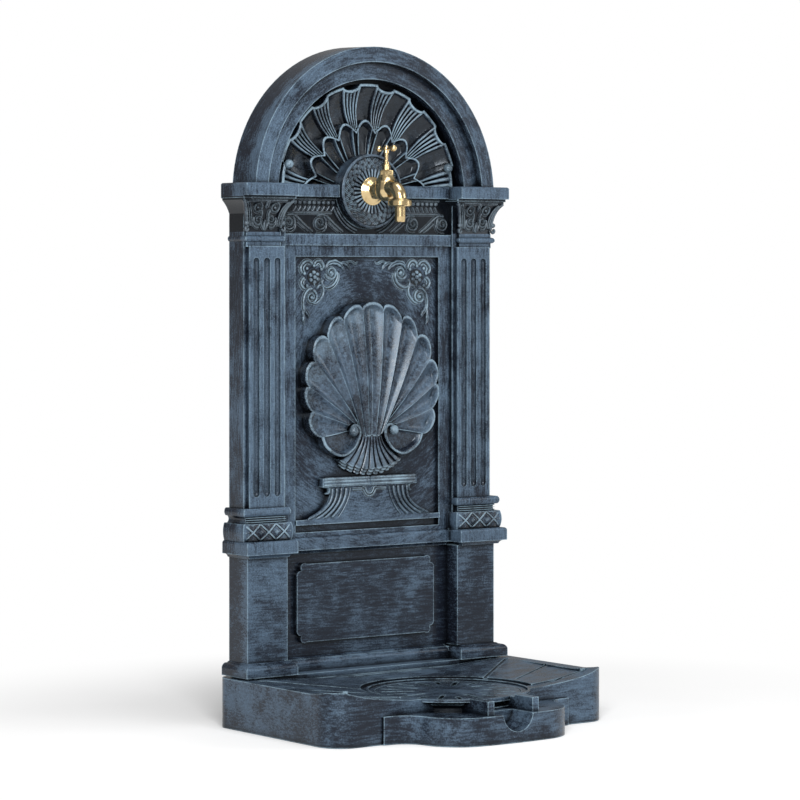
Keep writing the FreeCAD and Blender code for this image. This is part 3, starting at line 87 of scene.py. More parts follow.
def stack(x: Array | float, y: Array | float, z: Array | float) -> Array:
    """Joins three arrays of coordinates, stretched to one shape, along a new last axis."""
    return np.stack(np.broadcast_arrays(x, y, z), axis=-1).astype(float)


def smooth(value: Array, low: float, high: float) -> Array:
    """A soft step: 3t² - 2t³ of the value's place t between low and high."""
    t = np.clip((value - low) / (high - low), 0.0, 1.0)
    return t * t * (3.0 - 2.0 * t)


def follow(value: Array, profile: Line) -> Array:
    """The second coordinate at a value of the first, on straight lines between the profile's points."""
    given = np.array(profile)
    return np.interp(value, given[:, 0], given[:, 1])


def between(value: Array, at: tuple[float, ...] | Array, points: Line | Array) -> Array:
    """Places on straight lines between points, each of which is reached at its value in at."""
    return np.stack([np.interp(value, at, column) for column in np.array(points).T], axis=-1)


def flat(depth: float) -> Front:
    """A front that has one depth everywhere."""
    return lambda x, z: depth + 0.0 * x


def spline(points: tuple[tuple[float, ...], ...] | list[tuple[float, ...]], count: int) -> Array:
    """A smooth line through points, as a Catmull-Rom curve.

    Each span is the cubic whose slope at a point is half the step between that point's neighbours.

    Args:
        points: the places that the line passes through.
        count: how many samples come back, evenly spread over the spans.

    Returns:
        Array of shape (count, number of coordinates).
    """
    given = np.array(points, float)
    ends = np.vstack([2 * given[0] - given[1], given, 2 * given[-1] - given[-2]])
    place = np.linspace(0.0, len(given) - 1.0, count)
    first = np.minimum(place.astype(int), len(given) - 2)
    t = (place - first)[:, None]
    a, b, c, d = (ends[first + step] for step in range(4))
    return 0.5 * (2 * b + (c - a) * t + (2 * a - 5 * b + 4 * c - d) * t ** 2 + (3 * b - a - 3 * c + d) * t ** 3)


# Meshes
@dataclass
class Shape:
    """Surfaces gathered into one mesh, in millimetres."""

    points: list[Array] = field(default_factory=list)
    faces: list[Array] = field(default_factory=list)
    wear_and_shade_values: list[Array] = field(default_factory=list)
    total: int = 0
    wall_edge: float = 0.08
    wall_unpainted_shade: float = -0.7
    merge_distance: float = 2e-6

    def grid(self, sheet: Array, around: bool = False, wear_and_shade: Array | float = 0.0) -> None:
        """Adds a grid of quads.

        Args:
            sheet: points of shape (rows, columns, 3).
            around: joins the last column to the first.
            wear_and_shade: how much paint rubs off on, above 0, at each point; below 0, the paint misses it and it is
                darkened as painted shade.
        """
        rows, columns = sheet.shape[:2]
        self.wear_and_shade_values.append(np.broadcast_to(np.asarray(wear_and_shade, float), (rows, columns)).reshape(-1))
        index = np.arange(rows * columns).reshape(rows, columns) + self.total
        if around:
            index = np.hstack([index, index[:, :1]])
        quads = np.stack([index[:-1, :-1], index[:-1, 1:], index[1:, 1:], index[1:, :-1]], axis=-1)
        self.points.append(sheet.reshape(-1, 3))
        self.faces.append(quads.reshape(-1, 4))
        self.total += rows * columns

    def relief(self, front: Array, rear: Array | float, around: bool = False,
               wear_and_shade: Array | float = 0.0) -> None:
        """Adds a closed slab: a front sheet, its copy at the rear depth, and walls along the borders.

        Each wall has a row of points just behind the front's edge, so that below it the wall is left unpainted and
        darkened as painted shade.

        Args:
            front: points of shape (rows, columns, 3).
            rear: depth of the rear face, one value or one for each point.
            around: joins the last column to the first.
            wear_and_shade: the front's wear where above 0 and its painted shade where below 0, at each point.
        """
        back = front.copy()
        back[..., 1] = rear
        self.grid(front, around, wear_and_shade)
        self.grid(back[::-1], around)
        borders = [(front[0], back[0]), (front[-1], back[-1])]
        if not around:
            borders += [(front[:, 0], back[:, 0]), (front[:, -1], back[:, -1])]
        # Painted shade: the walls below their top row are left unpainted and darkened.
        wall_unpainted_shade = np.array([0.0, self.wall_unpainted_shade, self.wall_unpainted_shade])[:, None]
        for top, low in borders:
            self.grid(np.stack([top, top + (low - top) * self.wall_edge, low]), around, wall_unpainted_shade)

    def rod(self, path: Array, width: Array | float, height: Array | float | None = None,
            sides: int = 10, up: Place = (0.0, -1.0, 0.0), rounded: bool = True, wear_and_shade: float = 0.7) -> None:
        """Adds an oval rod along a path.

        A ring is drawn round each path point: width times the sideways direction times the cosine, plus
        height times the upward direction times the sine. Rounded ends shrink as half circles do.

        Args:
            path: points of shape (count, 3).
            width: half width across the path, one value or one for each point.
            height: half height towards the viewer. The width by default.
            sides: corners of the ring.
            up: the direction that the height is measured in.
            rounded: closes both ends with half circles.
            wear_and_shade: the wear of the upper half of the rod; its lower half gets up to a fifth of it with the
                sign turned, a little painted shade under the rod.
        """
        path = np.asarray(path, float)
        wide = np.broadcast_to(np.asarray(width, float), len(path)).copy()
        high = wide.copy() if height is None else np.broadcast_to(np.asarray(height, float), len(path)).copy()
        if rounded:
            run = np.concatenate([[0.0], np.cumsum(np.linalg.norm(np.diff(path, axis=0), axis=1))])
            reach = np.minimum(run, run[-1] - run) / np.maximum(np.maximum(wide, high), 1e-6)
            shrink = np.sqrt(np.clip(1.0 - (1.0 - np.clip(reach, 0.0, 1.0)) ** 2, 0.0, 1.0))
            wide, high = wide * shrink, high * shrink
        along = np.gradient(path, axis=0)
        along /= np.maximum(np.linalg.norm(along, axis=1, keepdims=True), 1e-9)
        across = np.cross(along, np.array(up))
        across /= np.maximum(np.linalg.norm(across, axis=1, keepdims=True), 1e-9)
        upward = np.cross(across, along)
        turn = np.linspace(0.0, 2.0 * np.pi, sides, endpoint=False)
        ring = (across[:, None] * wide[:, None, None] * np.cos(turn)[None, :, None]
                + upward[:, None] * high[:, None, None] * np.sin(turn)[None, :, None])
        # Painted shade: the lower half gets up to a fifth of the mark with its sign turned.
        self.grid(path[:, None] + ring, around=True, wear_and_shade=wear_and_shade * np.clip(np.sin(turn), -0.2, 1.0)[None, :])
        if not rounded:
            self.close_ring(self.total - sides, sides)
            self.close_ring(self.total - len(path) * sides, sides)

    def close_ring(self, first: int, sides: int) -> None:
        """Closes a ring of points, from the first on, with quads that share the first point."""
        steps = np.arange(1, sides - 2, 2)
        quads = np.stack([0 * steps, steps, steps + 1, steps + 2], axis=-1) + first
        self.faces.append(np.minimum(quads, first + sides - 1))

    def turned(self, profile: Line, centre: Place, sides: int = 48, axis: str = "y", wear_and_shade: float = 0.0) -> None:
        """Adds a turned form: each profile point (radius, place along the axis) goes once round the axis.

        Args:
            profile: the points, from one end of the axis to the other.
            centre: the axis' zero point.
            sides: corners of each ring.
            axis: y or z.
            wear_and_shade: the wear where above 0, and the painted shade where below 0, of the half in front of the
                profile's middle.
        """
        line = np.array(profile, float)
        turn = np.linspace(0.0, 2.0 * np.pi, sides, endpoint=False)
        radius, place = line[:, :1], line[:, 1:] + 0.0 * turn[None]
        parts = [radius * np.cos(turn), radius * np.sin(turn)]
        parts.insert(1 if axis == "y" else 2, place)
        in_front = line[:, 1] < line[:, 1].mean()
        self.grid(stack(*parts) + np.array(centre), around=True, wear_and_shade=wear_and_shade * in_front[:, None])

    def ball(self, centre: Place, radius: float, sides: int = 20, wear_and_shade: float = 0.75) -> None:
        """Adds a sphere from half circles turned about the depth axis, with the paler wear on its front half."""
        lean = np.linspace(0.0, np.pi, sides // 2 + 1)
        self.turned(np.stack([radius * np.sin(lean), -radius * np.cos(lean)], axis=-1), centre, sides, wear_and_shade=wear_and_shade)

    def build(self, name: str, sharp: float = 35.0) -> bpy.types.Object:
        """Makes the object: its points are moved into the frame, doubles merged and faces turned outwards.

        Args:
            name: the object's name.
            sharp: edges that bend by more than this many degrees stay crisp.

        Returns:
            The new object, linked to the scene.
        """
        mesh = bpy.data.meshes.new(name)
        mesh.from_pydata(to_scene(np.concatenate(self.points)), [], np.concatenate(self.faces).tolist())
        mesh.attributes.new("wear_and_shade", "FLOAT", "POINT").data.foreach_set("value", np.concatenate(self.wear_and_shade_values))
        work = bmesh.new()
        work.from_mesh(mesh)
        bmesh.ops.remove_doubles(work, verts=work.verts, dist=self.merge_distance)
        bmesh.ops.dissolve_degenerate(work, edges=work.edges, dist=0.5 * self.merge_distance)
        bmesh.ops.recalc_face_normals(work, faces=work.faces)
        work.to_mesh(mesh)
        work.free()
        mesh.shade_smooth()
        mesh.set_sharp_from_angle(angle=math.radians(sharp))
        piece = bpy.data.objects.new(name, mesh)
        bpy.context.scene.collection.objects.link(piece)
        return piece


@dataclass
class Carver:
    """Draws raised work on a front, in flat (x, z) places of the right half.

    The front's depth is worked out from x and z. With side -1 everything is mirrored.
    """

    shape: Shape
    depth: Front
    side: float = 1.0
    # Half width added for the thin strip of painted shade beside each raised line.
    outline: float = 1.1
    outline_rise: float = 0.35
    narrowing: float = 0.35
    leaf_grid: tuple[int, int] = (36, 13)

    def on(self, line: Array, rise: Array | float = 0.0) -> Array:
        """Puts flat places on the front, raised by a height."""
        x, z = line[..., 0], line[..., 1]
        return stack(x * self.side, -self.depth(x, z) - rise, z)

    def raised(self, path: Array, width: Array, height: Array | float, wear_and_shade: float) -> None:
        """A raised line along flat places, over a thin and wider strip that is left unpainted and darkened as painted
        shade.
        """
        placed = self.on(path)
        self.shape.rod(placed, width, height, sides=8, wear_and_shade=wear_and_shade)
        # Painted shade: a thin, wider strip under the line, left unpainted and darkened.
        self.shape.rod(placed, width + self.outline, self.outline_rise, sides=6, wear_and_shade=-1.0)

    def line(self, points: Line | list[Point], width: float, height: float, taper: float = 0.0,
             wear_and_shade: float = 0.85) -> None:
        """A raised line along a smooth curve through the points, whose width shrinks by the taper."""
        given = points if len(points) > 2 else [points[0], tuple(np.mean(points, axis=0)), points[1]]
        path = spline(given, 12 * len(given))
        share = np.linspace(1.0, 1.0 - taper, len(path))
        self.raised(path, width * share, height * share, wear_and_shade)

    def scroll(self, centre: Point, outer: float, inner: float, turns: float, start: float, width: float,
               height: float) -> None:
        """A spiral line: its radius shrinks evenly while it turns.

        Args:
            centre: middle of the spiral.
            outer: radius at the start.
            inner: radius at the end.
            turns: how often it goes round, below 0 for clockwise.
            start: angle of the start in degrees from +X.
            width: half width of the line.
            height: its height.
        """
        share = np.linspace(0.0, 1.0, int(34 * abs(turns)) + 8)
        turn = np.radians(start) + 2.0 * np.pi * turns * share
        radius = outer + (inner - outer) * share
        path = np.array(centre) + radius[:, None] * np.stack([np.cos(turn), np.sin(turn)], axis=-1)
        self.raised(path, width * (1.0 - self.narrowing * share), height, 0.8)

    def ball(self, centre: Point, radius: float, rise: float = 0.3) -> None:
        """A ball whose middle stands a share of its radius in front of the face."""
        self.shape.ball(tuple(self.on(np.array(centre, float), rise * radius)), radius, 12)

    def ground(self, centre: Point, radius: float) -> None:
        """A thin round plate under a group of balls, left unpainted and darkened as painted shade between them."""
        self.shape.turned(((0.0, -0.4), (radius - 0.5, -0.4), (radius, 0.4)),
                          tuple(self.on(np.array(centre, float))), 28, wear_and_shade=-1.0)

    def leaf(self, points: list[Point], width: float, height: float, lobes: float = 3.0) -> None:
        """A domed leaf along a curve: its half width is a half sine with notches, and a groove runs down it."""
        rows, columns = self.leaf_grid
        spine = spline(points, rows)
        way = np.gradient(spine, axis=0)
        way /= np.linalg.norm(way, axis=1, keepdims=True)
        beside = np.stack([-way[:, 1], way[:, 0]], axis=-1)
        t = np.linspace(0.0, 1.0, rows)[:, None]
        u = np.linspace(-1.0, 1.0, columns)[None, :]
        half = width * np.sin(np.pi * t) ** 0.6 * (0.7 + 0.3 * np.abs(np.sin(np.pi * lobes * t)))
        outline = spine[:, None] + beside[:, None] * (half * u)[..., None]
        swell = np.sqrt(np.clip(1.0 - u * u, 0.0, 1.0)) * (0.35 + 0.65 * np.sin(np.pi * t))
        groove = np.exp(-(u / 0.2) ** 2)
        front = self.on(outline, height * (swell - 0.4 * groove * np.sin(np.pi * t)) + 0.1)
        # Painted shade: the groove down the leaf is left unpainted and darkened.
        self.shape.relief(front, self.on(outline, -0.4)[..., 1], wear_and_shade=0.9 * swell - 1.2 * groove)


def carve_both(draw: Callable[[Carver], None], depth: Front) -> Shape:
    """Draws carved work on the left and the right half of a front.

    Args:
        draw: draws one half with the carver that it gets.
        depth: the front's depth at x and z.

    Returns:
        The shape with both halves.
    """
    shape = Shape()
    for side in SIDES:
        draw(Carver(shape, depth, side))
    return shape


# Shader graphs
class Graph:
    """Short calls that add nodes to one node tree and join their sockets."""

    def __init__(self, tree: bpy.types.NodeTree) -> None:
        """Keeps the tree that the calls add to."""
        self.tree = tree

    def add(self, kind: str, settings: dict | None = None, **inputs: object) -> bpy.types.Node:
        """Adds a node.

        Args:
            kind: the node's type name.
            settings: properties of the node itself.
            inputs: values or sockets by input name, with an underscore for a space.

        Returns:
            The node.
        """
        node = self.tree.nodes.new(kind)
        for key, value in (settings or {}).items():
            setattr(node, key, value)
        for key, value in inputs.items():
            self.feed(node, key.replace("_", " "), value)
        return node

    def feed(self, node: bpy.types.Node, key: str | int, value: object) -> None:
        """Joins a socket to an input, or sets the input's own value."""
        target = node.inputs[key]
        if isinstance(value, Socket):
            self.tree.links.new(value, target)
        else:
            target.default_value = value

    def math(self, operation: str, first: object, second: object = 0.0, clamp: bool = False) -> Socket:
        """One step of arithmetic on two values or sockets."""
        node = self.add("ShaderNodeMath", {"operation": operation, "use_clamp": clamp})
        self.feed(node, 0, first)
        self.feed(node, 1, second)
        return node.outputs[0]

    def plus(self, first: object, second: object, clamp: bool = False) -> Socket:
        """The sum of two values."""
        return self.math("ADD", first, second, clamp)

    def minus(self, first: object, second: object) -> Socket:
        """The first value less the second."""
        return self.math("SUBTRACT", first, second)

    def times(self, first: object, second: object, clamp: bool = False) -> Socket:
        """The product of two values."""
        return self.math("MULTIPLY", first, second, clamp)

    def larger(self, first: object, second: object) -> Socket:
        """The larger one of two values."""
        return self.math("MAXIMUM", first, second)

    def shares(self, first: Socket, part: float, second: Socket, other: float) -> Socket:
        """A part of the first value plus another part of the second."""
        return self.plus(self.times(first, part), self.times(second, other))

    def span(self, value: object, low: float, high: float, to_low: float = 0.0, to_high: float = 1.0) -> Socket:
        """Maps a value from one range to another, softly and held within its ends."""
        node = self.add("ShaderNodeMapRange", {"interpolation_type": "SMOOTHSTEP"}, Value=value, From_Min=low,
                        From_Max=high, To_Min=to_low, To_Max=to_high)
        return node.outputs["Result"]

    def mix(self, kind: str, sockets: tuple[int, int, int], factor: object, first: object, second: object) -> Socket:
        """A Mix node of one data type, whose two inputs and output have the given numbers."""
        node = self.add("ShaderNodeMix", {"data_type": kind})
        for key, value in zip((0, *sockets[:2]), (factor, first, second)):
            self.feed(node, key, value)
        return node.outputs[sockets[2]]

    def colour(self, factor: object, first: object, second: object) -> Socket:
        """Mixes two colours by a factor."""
        return self.mix("RGBA", (6, 7, 2), factor, first, second)

    def between(self, factor: object, first: object, second: object) -> Socket:
        """Mixes two places by a factor."""
        return self.mix("VECTOR", (4, 5, 1), factor, first, second)

    def noise(self, vector: object, scale: float, detail: float = 3.0, rough: float = 0.55) -> Socket:
        """A noise value of the given scale at a place."""
        node = self.add("ShaderNodeTexNoise", Vector=vector, Scale=scale, Detail=detail, Roughness=rough)
        return node.outputs[0]

    def moved(self, vector: object, scale: Colour, place: Place = (0.0, 0.0, 0.0)) -> Socket:
        """A Mapping node that stretches and moves a place."""
        return self.add("ShaderNodeMapping", Vector=vector, Scale=scale, Location=place).outputs[0]

    def length(self, vector: Socket) -> Socket:
        """How long a vector is."""
        node = self.add("ShaderNodeVectorMath", {"operation": "LENGTH"})
        self.feed(node, 0, vector)
        return node.outputs["Value"]

    def axes(self, vector: Socket) -> bpy.types.NodeOutputs:
        """The vector's X, Y and Z."""
        return self.add("ShaderNodeSeparateXYZ", Vector=vector).outputs

    def group(self, tree: bpy.types.NodeTree, **inputs: object) -> bpy.types.NodeOutputs:
        """Adds a shader group and returns its outputs."""
        return self.add("ShaderNodeGroup", {"node_tree": tree}, **inputs).outputs


class Coat(Graph):
    """The graph of a new material, with its shader and the place on the object."""

    def __init__(self, name: str) -> None:
        """Makes the material."""
        self.material = bpy.data.materials.new(name)
        self.material.use_nodes = True
        super().__init__(self.material.node_tree)
        self.shader = self.tree.nodes["Principled BSDF"]
        self.place = self.add("ShaderNodeTexCoord").outputs["Object"]

    def shade(self, **inputs: object) -> None:
        """Joins or sets the shader's inputs, by name with an underscore for a space."""
        for key, value in inputs.items():
            self.feed(self.shader, key.replace("_", " "), value)

    def bump(self, height: Socket, strength: float, distance: float) -> None:
        """Tilts the shader's normal by a height."""
        node = self.add("ShaderNodeBump", Strength=strength, Distance=distance, Height=height)
        self.shade(Normal=node.outputs[0])


def new_group(name: str, inputs: dict[str, float | None], outputs: tuple[str, ...],
              make: Callable[[Graph, dict[str, Socket]], tuple[Socket, ...]]) -> bpy.types.NodeTree:
    """Builds a shader node group whose outputs are values.

    Args:
        name: the group's name.
        inputs: default value by name, or None for a vector.
        outputs: names of the outputs.
        make: adds the nodes, from the graph and the input sockets by name, and returns the results.

    Returns:
        The tree.
    """
    tree = bpy.data.node_groups.new(name, "ShaderNodeTree")
    for key, value in inputs.items():
        kind = "NodeSocketVector" if value is None else "NodeSocketFloat"
        socket = tree.interface.new_socket(name=key, in_out="INPUT", socket_type=kind)
        if value is not None:
            socket.default_value = value
    for key in outputs:
        tree.interface.new_socket(name=key, in_out="OUTPUT", socket_type="NodeSocketFloat")
    graph = Graph(tree)
    start = tree.nodes.new("NodeGroupInput")
    results = make(graph, {key: start.outputs[key] for key in inputs})
    end = tree.nodes.new("NodeGroupOutput")
    for key, value in zip(outputs, results):
        graph.feed(end, key, value)
    return tree


class Effects:
    """The shader node groups that the finishes share, each built once."""

    def __init__(self) -> None:
        """Builds every group."""
        self.relief = new_group("relief masks", {"Edge Reach": 0.002, "Hollow Reach": 0.012},
                                ("Edge", "Hollow"), self.relief_masks)
        self.brush = new_group("brush strokes", {"Vector": None, "Bristles": None, "Cover": 0.5},
                               ("Mask", "Broken", "Height"), self.brush_strokes)
        self.grain = new_group("moulded grain", {"Vector": None}, ("Height", "Speckle"), self.moulded_grain)

    def relief_masks(self, graph: Graph, given: dict[str, Socket]) -> tuple[Socket, ...]:
        """Raised edges and hollows, from how much solid or open space lies within reach of a point. The hollows are
        darkened with it as painted shade.
        """
        inner = graph.add("ShaderNodeAmbientOcclusion", {"samples": 8, "inside": True, "only_local": True},
                          Distance=given["Edge Reach"])
        outer = graph.add("ShaderNodeAmbientOcclusion", {"samples": 8}, Distance=given["Hollow Reach"])
        return graph.span(inner.outputs["AO"], 0.86, 0.42), graph.span(outer.outputs["AO"], 0.9, 0.4)

    def brush_strokes(self, graph: Graph, given: dict[str, Socket]) -> tuple[Socket, ...]:
        """Dry brush strokes: clouds and patches decide where paint took, and bristle lines break it up."""
        bristles = graph.noise(given["Bristles"], 420.0, 4.0, 0.7)
        cloud = graph.noise(given["Vector"], 9.0, 3.0, 0.6)
        patch = graph.noise(given["Vector"], 38.0, 4.0, 0.6)
        speckle = graph.noise(given["Vector"], 620.0, 3.0, 0.7)
        load = graph.plus(graph.shares(cloud, 0.55, patch, 0.45), given["Cover"])
        density = graph.span(load, 0.84, 1.19)
        texture = graph.span(graph.shares(bristles, 0.6, speckle, 0.4), 0.38, 0.64)
        took = graph.shares(density, 0.75, texture, 0.6)
        lines = graph.shares(patch, 0.55, speckle, 0.45)
        return graph.span(took, 0.2, 1.25), graph.span(lines, 0.38, 0.58, 0.15, 1.0), bristles

    def moulded_grain(self, graph: Graph, given: dict[str, Socket]) -> tuple[Socket, ...]:
        """The fine pebbled skin of a moulded plastic, as a height, and its speckle, as a value."""
        pebbles = graph.noise(given["Vector"], 1500.0, 2.0, 0.5)
        speckle = graph.noise(given["Vector"], 700.0, 3.0, 0.7)
        return pebbles, graph.span(speckle, 0.35, 0.68)


# Finishes
class Strokes(Enum):
    """The way that the brush went, as the stretch of the bristle pattern along x, y and z."""

    UPRIGHT = (1.0, 1.0, 0.11)
    LEVEL = (0.1, 0.35, 1.0)
    DABBED = (0.6, 0.6, 0.6)


@dataclass(frozen=True)
class Layout:
    """Where the strokes and the amount of paint change on the column, in metres from its middle and the ground."""

    level_below: float = 0.19
    arch_above: float = 0.604
    arch_centre: float = 0.593
    shell_centre: float = 0.4
    sweep: float = 0.03
    blur: float = 0.003
    panel_half: Point = (0.108, 0.104)
    panel_top: Point = (0.524, 0.52)
    bare_shaded_band: Point = (0.549, 0.5895)
    bare_shaded_share: float = 0.97
    plaque_half: Point = (0.098, 0.102)
    forward: Point = (0.017, 0.037)
    forward_cover: Point = (-0.07, 0.13)
    arch_less: float = 0.13
    low_less: float = 0.115
    low_band: float = 0.01
    plaque_share: float = 0.2
    # Painted light: how much the paint grows towards the left, per metre of x.
    lean: float = 0.2

    def round_strokes(self, graph: Graph, place: Socket, centre: float) -> Socket:
        """Strokes round a height on the middle plane: distance, depth and angle stand for x, y and z."""
        x, y, z = graph.axes(place)
        away = graph.length(graph.moved(place, (1.0, 0.0, 1.0), (0.0, 0.0, -centre)))
        angle = graph.math("ARCTAN2", x, graph.minus(z, centre))
        return graph.add("ShaderNodeCombineXYZ", X=away, Y=y, Z=graph.times(angle, self.sweep)).outputs[0]

    def bristles(self, graph: Graph, place: Socket, upright: Socket) -> Socket:
        """The place, stretched along strokes.

        They lie level low down, go round the shell on the tall panel, follow the arch above the cornice
        and stand upright elsewhere.
        """
        x, _, height = graph.axes(place)
        panel = graph.times(graph.span(graph.math("ABSOLUTE", x), *self.panel_half),
                            graph.span(height, *self.panel_top))
        main = graph.between(panel, upright, self.round_strokes(graph, place, self.shell_centre))
        in_arch = graph.span(height, self.arch_above - self.blur, self.arch_above + self.blur)
        main = graph.between(in_arch, main, self.round_strokes(graph, place, self.arch_centre))
        above = graph.span(height, self.level_below - self.blur, self.level_below + self.blur)
        return graph.between(above, graph.moved(place, Strokes.LEVEL.value), main)

    def cover(self, graph: Graph, place: Socket, plain: float) -> Socket:
        """How much paint there is: more on what stands forward, less low down and on the arch, and more to the left as
        painted light.
        """
        x, depth, height = graph.axes(place)
        near, far = (rear_plane() - part for part in self.forward)
        forward = graph.span(depth, near, far, *(plain + part for part in self.forward_cover))
        beside = graph.span(graph.math("ABSOLUTE", x), *self.plaque_half, self.plaque_share, 1.0)
        low = graph.span(height, self.level_below + self.low_band, self.level_below - self.low_band,
                         0.0, self.low_less)
        arch = graph.span(height, self.arch_above, self.arch_above + 2.0 * self.low_band, 0.0, self.arch_less)
        less = graph.plus(arch, graph.times(low, beside))
        # Painted light: more paint, and so a lighter colour, towards the left, where the lamps light the column most.
        return graph.minus(graph.minus(forward, less), graph.times(x, self.lean))

    def bare_and_shaded(self, graph: Graph, place: Socket) -> Socket:
        """How far the frieze's ground is left unpainted and darkened with the hollows' painted shade: 0 outside its
        two heights.
        """
        height = graph.axes(place)[2]
        low, high = self.bare_shaded_band
        band = graph.times(graph.span(height, low, low + 0.001), graph.span(height, high, high - 0.001))
        return graph.times(band, self.bare_shaded_share)


@dataclass(frozen=True)
class PatinaFinish:
    """Near-black moulded plastic with a dry-brushed steel-blue patina that catches on raised edges, and painted shade
    in its hollows.
    """

    name: str
    strokes: Strokes
    cover: float = 0.5
    layout: Layout | None = None
    edge: float = 0.9
    edge_reach: float = 0.002
    hollow_reach: float = 0.014
    gloss: float = 0.3
    smoothness: float = 0.8
    dulling: float = 0.32
    dark: Colour = (0.0065, 0.0085, 0.0145)
    blue: Colour = (0.088, 0.138, 0.2)
    pale: Colour = (0.23, 0.33, 0.405)
    sheen: Colour = (0.8, 0.9, 1.0)

    def material(self, effects: Effects) -> bpy.types.Material:
        """Builds the material.

        Args:
            effects: the shared shader groups.

        Returns:
            The material, with colour, roughness and bump that vary over the surface.
        """
        coat = Coat(self.name)
        bristles, cover = coat.moved(coat.place, self.strokes.value), self.cover
        if self.layout:
            bristles = self.layout.bristles(coat, coat.place, bristles)
            cover = self.layout.cover(coat, coat.place, cover)
        masks = coat.group(effects.relief, Edge_Reach=self.edge_reach, Hollow_Reach=self.hollow_reach)
        brush = coat.group(effects.brush, Vector=coat.place, Bristles=bristles, Cover=cover)
        grain = coat.group(effects.grain, Vector=coat.place)
        wear_and_shade = coat.add("ShaderNodeAttribute", {"attribute_name": "wear_and_shade"}).outputs["Fac"]
        # Below 0 the mark says the paint missed the place and it is darkened as painted shade.
        missed_and_shaded = coat.times(wear_and_shade, -1.0, clamp=True)
        unpainted_and_shaded = coat.plus(masks["Hollow"], missed_and_shaded, clamp=True)
        # The frieze's ground is left unpainted and darkened the same way.
        if self.layout:
            unpainted_and_shaded = coat.larger(unpainted_and_shaded, self.layout.bare_and_shaded(coat, coat.place))
        painted = coat.times(brush["Mask"], coat.minus(1.0, unpainted_and_shaded))
        painted = coat.times(painted, coat.span(grain["Speckle"], 0.0, 1.0, 0.5, 1.0))
        reached = coat.minus(1.0, coat.times(missed_and_shaded, 2.0, clamp=True))
        edge = coat.times(coat.larger(coat.times(masks["Edge"], reached), wear_and_shade), self.edge)
        edge = coat.times(edge, brush["Broken"], clamp=True)
        # Painted shade: unpainted hollows and marked places are darkened to a fifth of the plastic's own colour.
        base = coat.colour(unpainted_and_shaded, (*self.dark, 1.0), tuple(0.2 * part for part in self.dark) + (1.0,))
        colour = coat.colour(painted, base, (*self.blue, 1.0))
        rough = coat.plus(coat.times(coat.larger(painted, edge), self.dulling), 1.0 - self.smoothness)
        coat.shade(Base_Color=coat.colour(edge, colour, (*self.pale, 1.0)), Roughness=rough,
                   Specular_IOR_Level=self.gloss, Specular_Tint=(*self.sheen, 1.0))
        coat.bump(coat.shares(grain["Height"], 0.6, brush["Height"], 0.6), 0.2, 0.0006)
        return coat.material


@dataclass(frozen=True)
class MetalFinish:
    """Polished or brushed metal with faint stains, painted shade in its hollows and fine scratches."""

    name: str
    colour: Colour
    stain_and_shade_colour: Colour
    rough: float = 0.14
    scratch: float = 0.1
    stretch: Colour = (1.0, 1.0, 0.08)
    edge_reach: float = 0.0008
    hollow_reach: float = 0.003

    def material(self, effects: Effects) -> bpy.types.Material:
        """Builds the material from the shared groups."""
        coat = Coat(self.name)
        cloud = coat.noise(coat.place, 60.0, 4.0, 0.6)
        lines = coat.noise(coat.moved(coat.place, self.stretch), 1800.0, 2.0, 0.6)
        masks = coat.group(effects.relief, Edge_Reach=self.edge_reach, Hollow_Reach=self.hollow_reach)
        # Stains in clouds, and painted shade in the hollows, both take the darker stain colour.
        stain_and_shade = coat.larger(coat.span(cloud, 0.52, 0.75, 0.0, 0.6), coat.times(masks["Hollow"], 0.75))
        rough = coat.plus(coat.times(lines, self.scratch), self.rough - self.scratch * 0.5)
        coat.shade(Base_Color=coat.colour(stain_and_shade, (*self.colour, 1.0), (*self.stain_and_shade_colour, 1.0)), Metallic=1.0,
                   Roughness=coat.plus(rough, coat.times(stain_and_shade, 0.12)))
        coat.bump(lines, 0.04, 0.0002)
        return coat.material


@dataclass(frozen=True)
class SoftFinish:
    """Plain rubber or unpainted plastic with a faint bloom."""

    name: str
    colour: Colour
    bloom: Colour
    rough: float = 0.6

    def material(self, effects: Effects) -> bpy.types.Material:
        """Builds the material from the shared groups."""
        coat = Coat(self.name)
        grain = coat.group(effects.grain, Vector=coat.place)
        cloud = coat.span(coat.noise(coat.place, 30.0, 4.0, 0.6), 0.4, 0.7)
        mask = coat.times(cloud, grain["Speckle"])
        coat.shade(Base_Color=coat.colour(mask, (*self.colour, 1.0), (*self.bloom, 1.0)),
                   Roughness=coat.span(cloud, 0.0, 1.0, self.rough, self.rough + 0.15))
        coat.bump(grain["Height"], 0.2, 0.0004)
        return coat.material


class Paint(Enum):
    """The finishes of the fountain, by the place that each is used on."""

    UPRIGHT = PatinaFinish("patina_upright", Strokes.UPRIGHT, cover=0.52, layout=Layout())
    LEVEL = PatinaFinish("patina_level", Strokes.LEVEL, cover=0.51, edge=1.0)
    CARVED = PatinaFinish("patina_carved", Strokes.DABBED, cover=0.5, edge_reach=0.0011, hollow_reach=0.008,
                          gloss=0.52, smoothness=0.75)
    BRONZED = PatinaFinish("patina_bronzed", Strokes.DABBED, cover=0.36, edge=0.62, edge_reach=0.0006,
                           hollow_reach=0.006, pale=(0.19, 0.245, 0.285))
    HIDDEN = SoftFinish("unpainted_plastic", (0.014, 0.015, 0.017), (0.03, 0.032, 0.036), 0.5)
    BRASS = MetalFinish("polished_brass", (0.72, 0.55, 0.3), (0.26, 0.18, 0.07), 0.2, 0.12)
    STEEL = MetalFinish("zinc_steel", (0.62, 0.62, 0.6), (0.4, 0.4, 0.38), 0.3, 0.15)
    RUBBER = SoftFinish("black_rubber", (0.02, 0.02, 0.02), (0.05, 0.05, 0.05), 0.7)


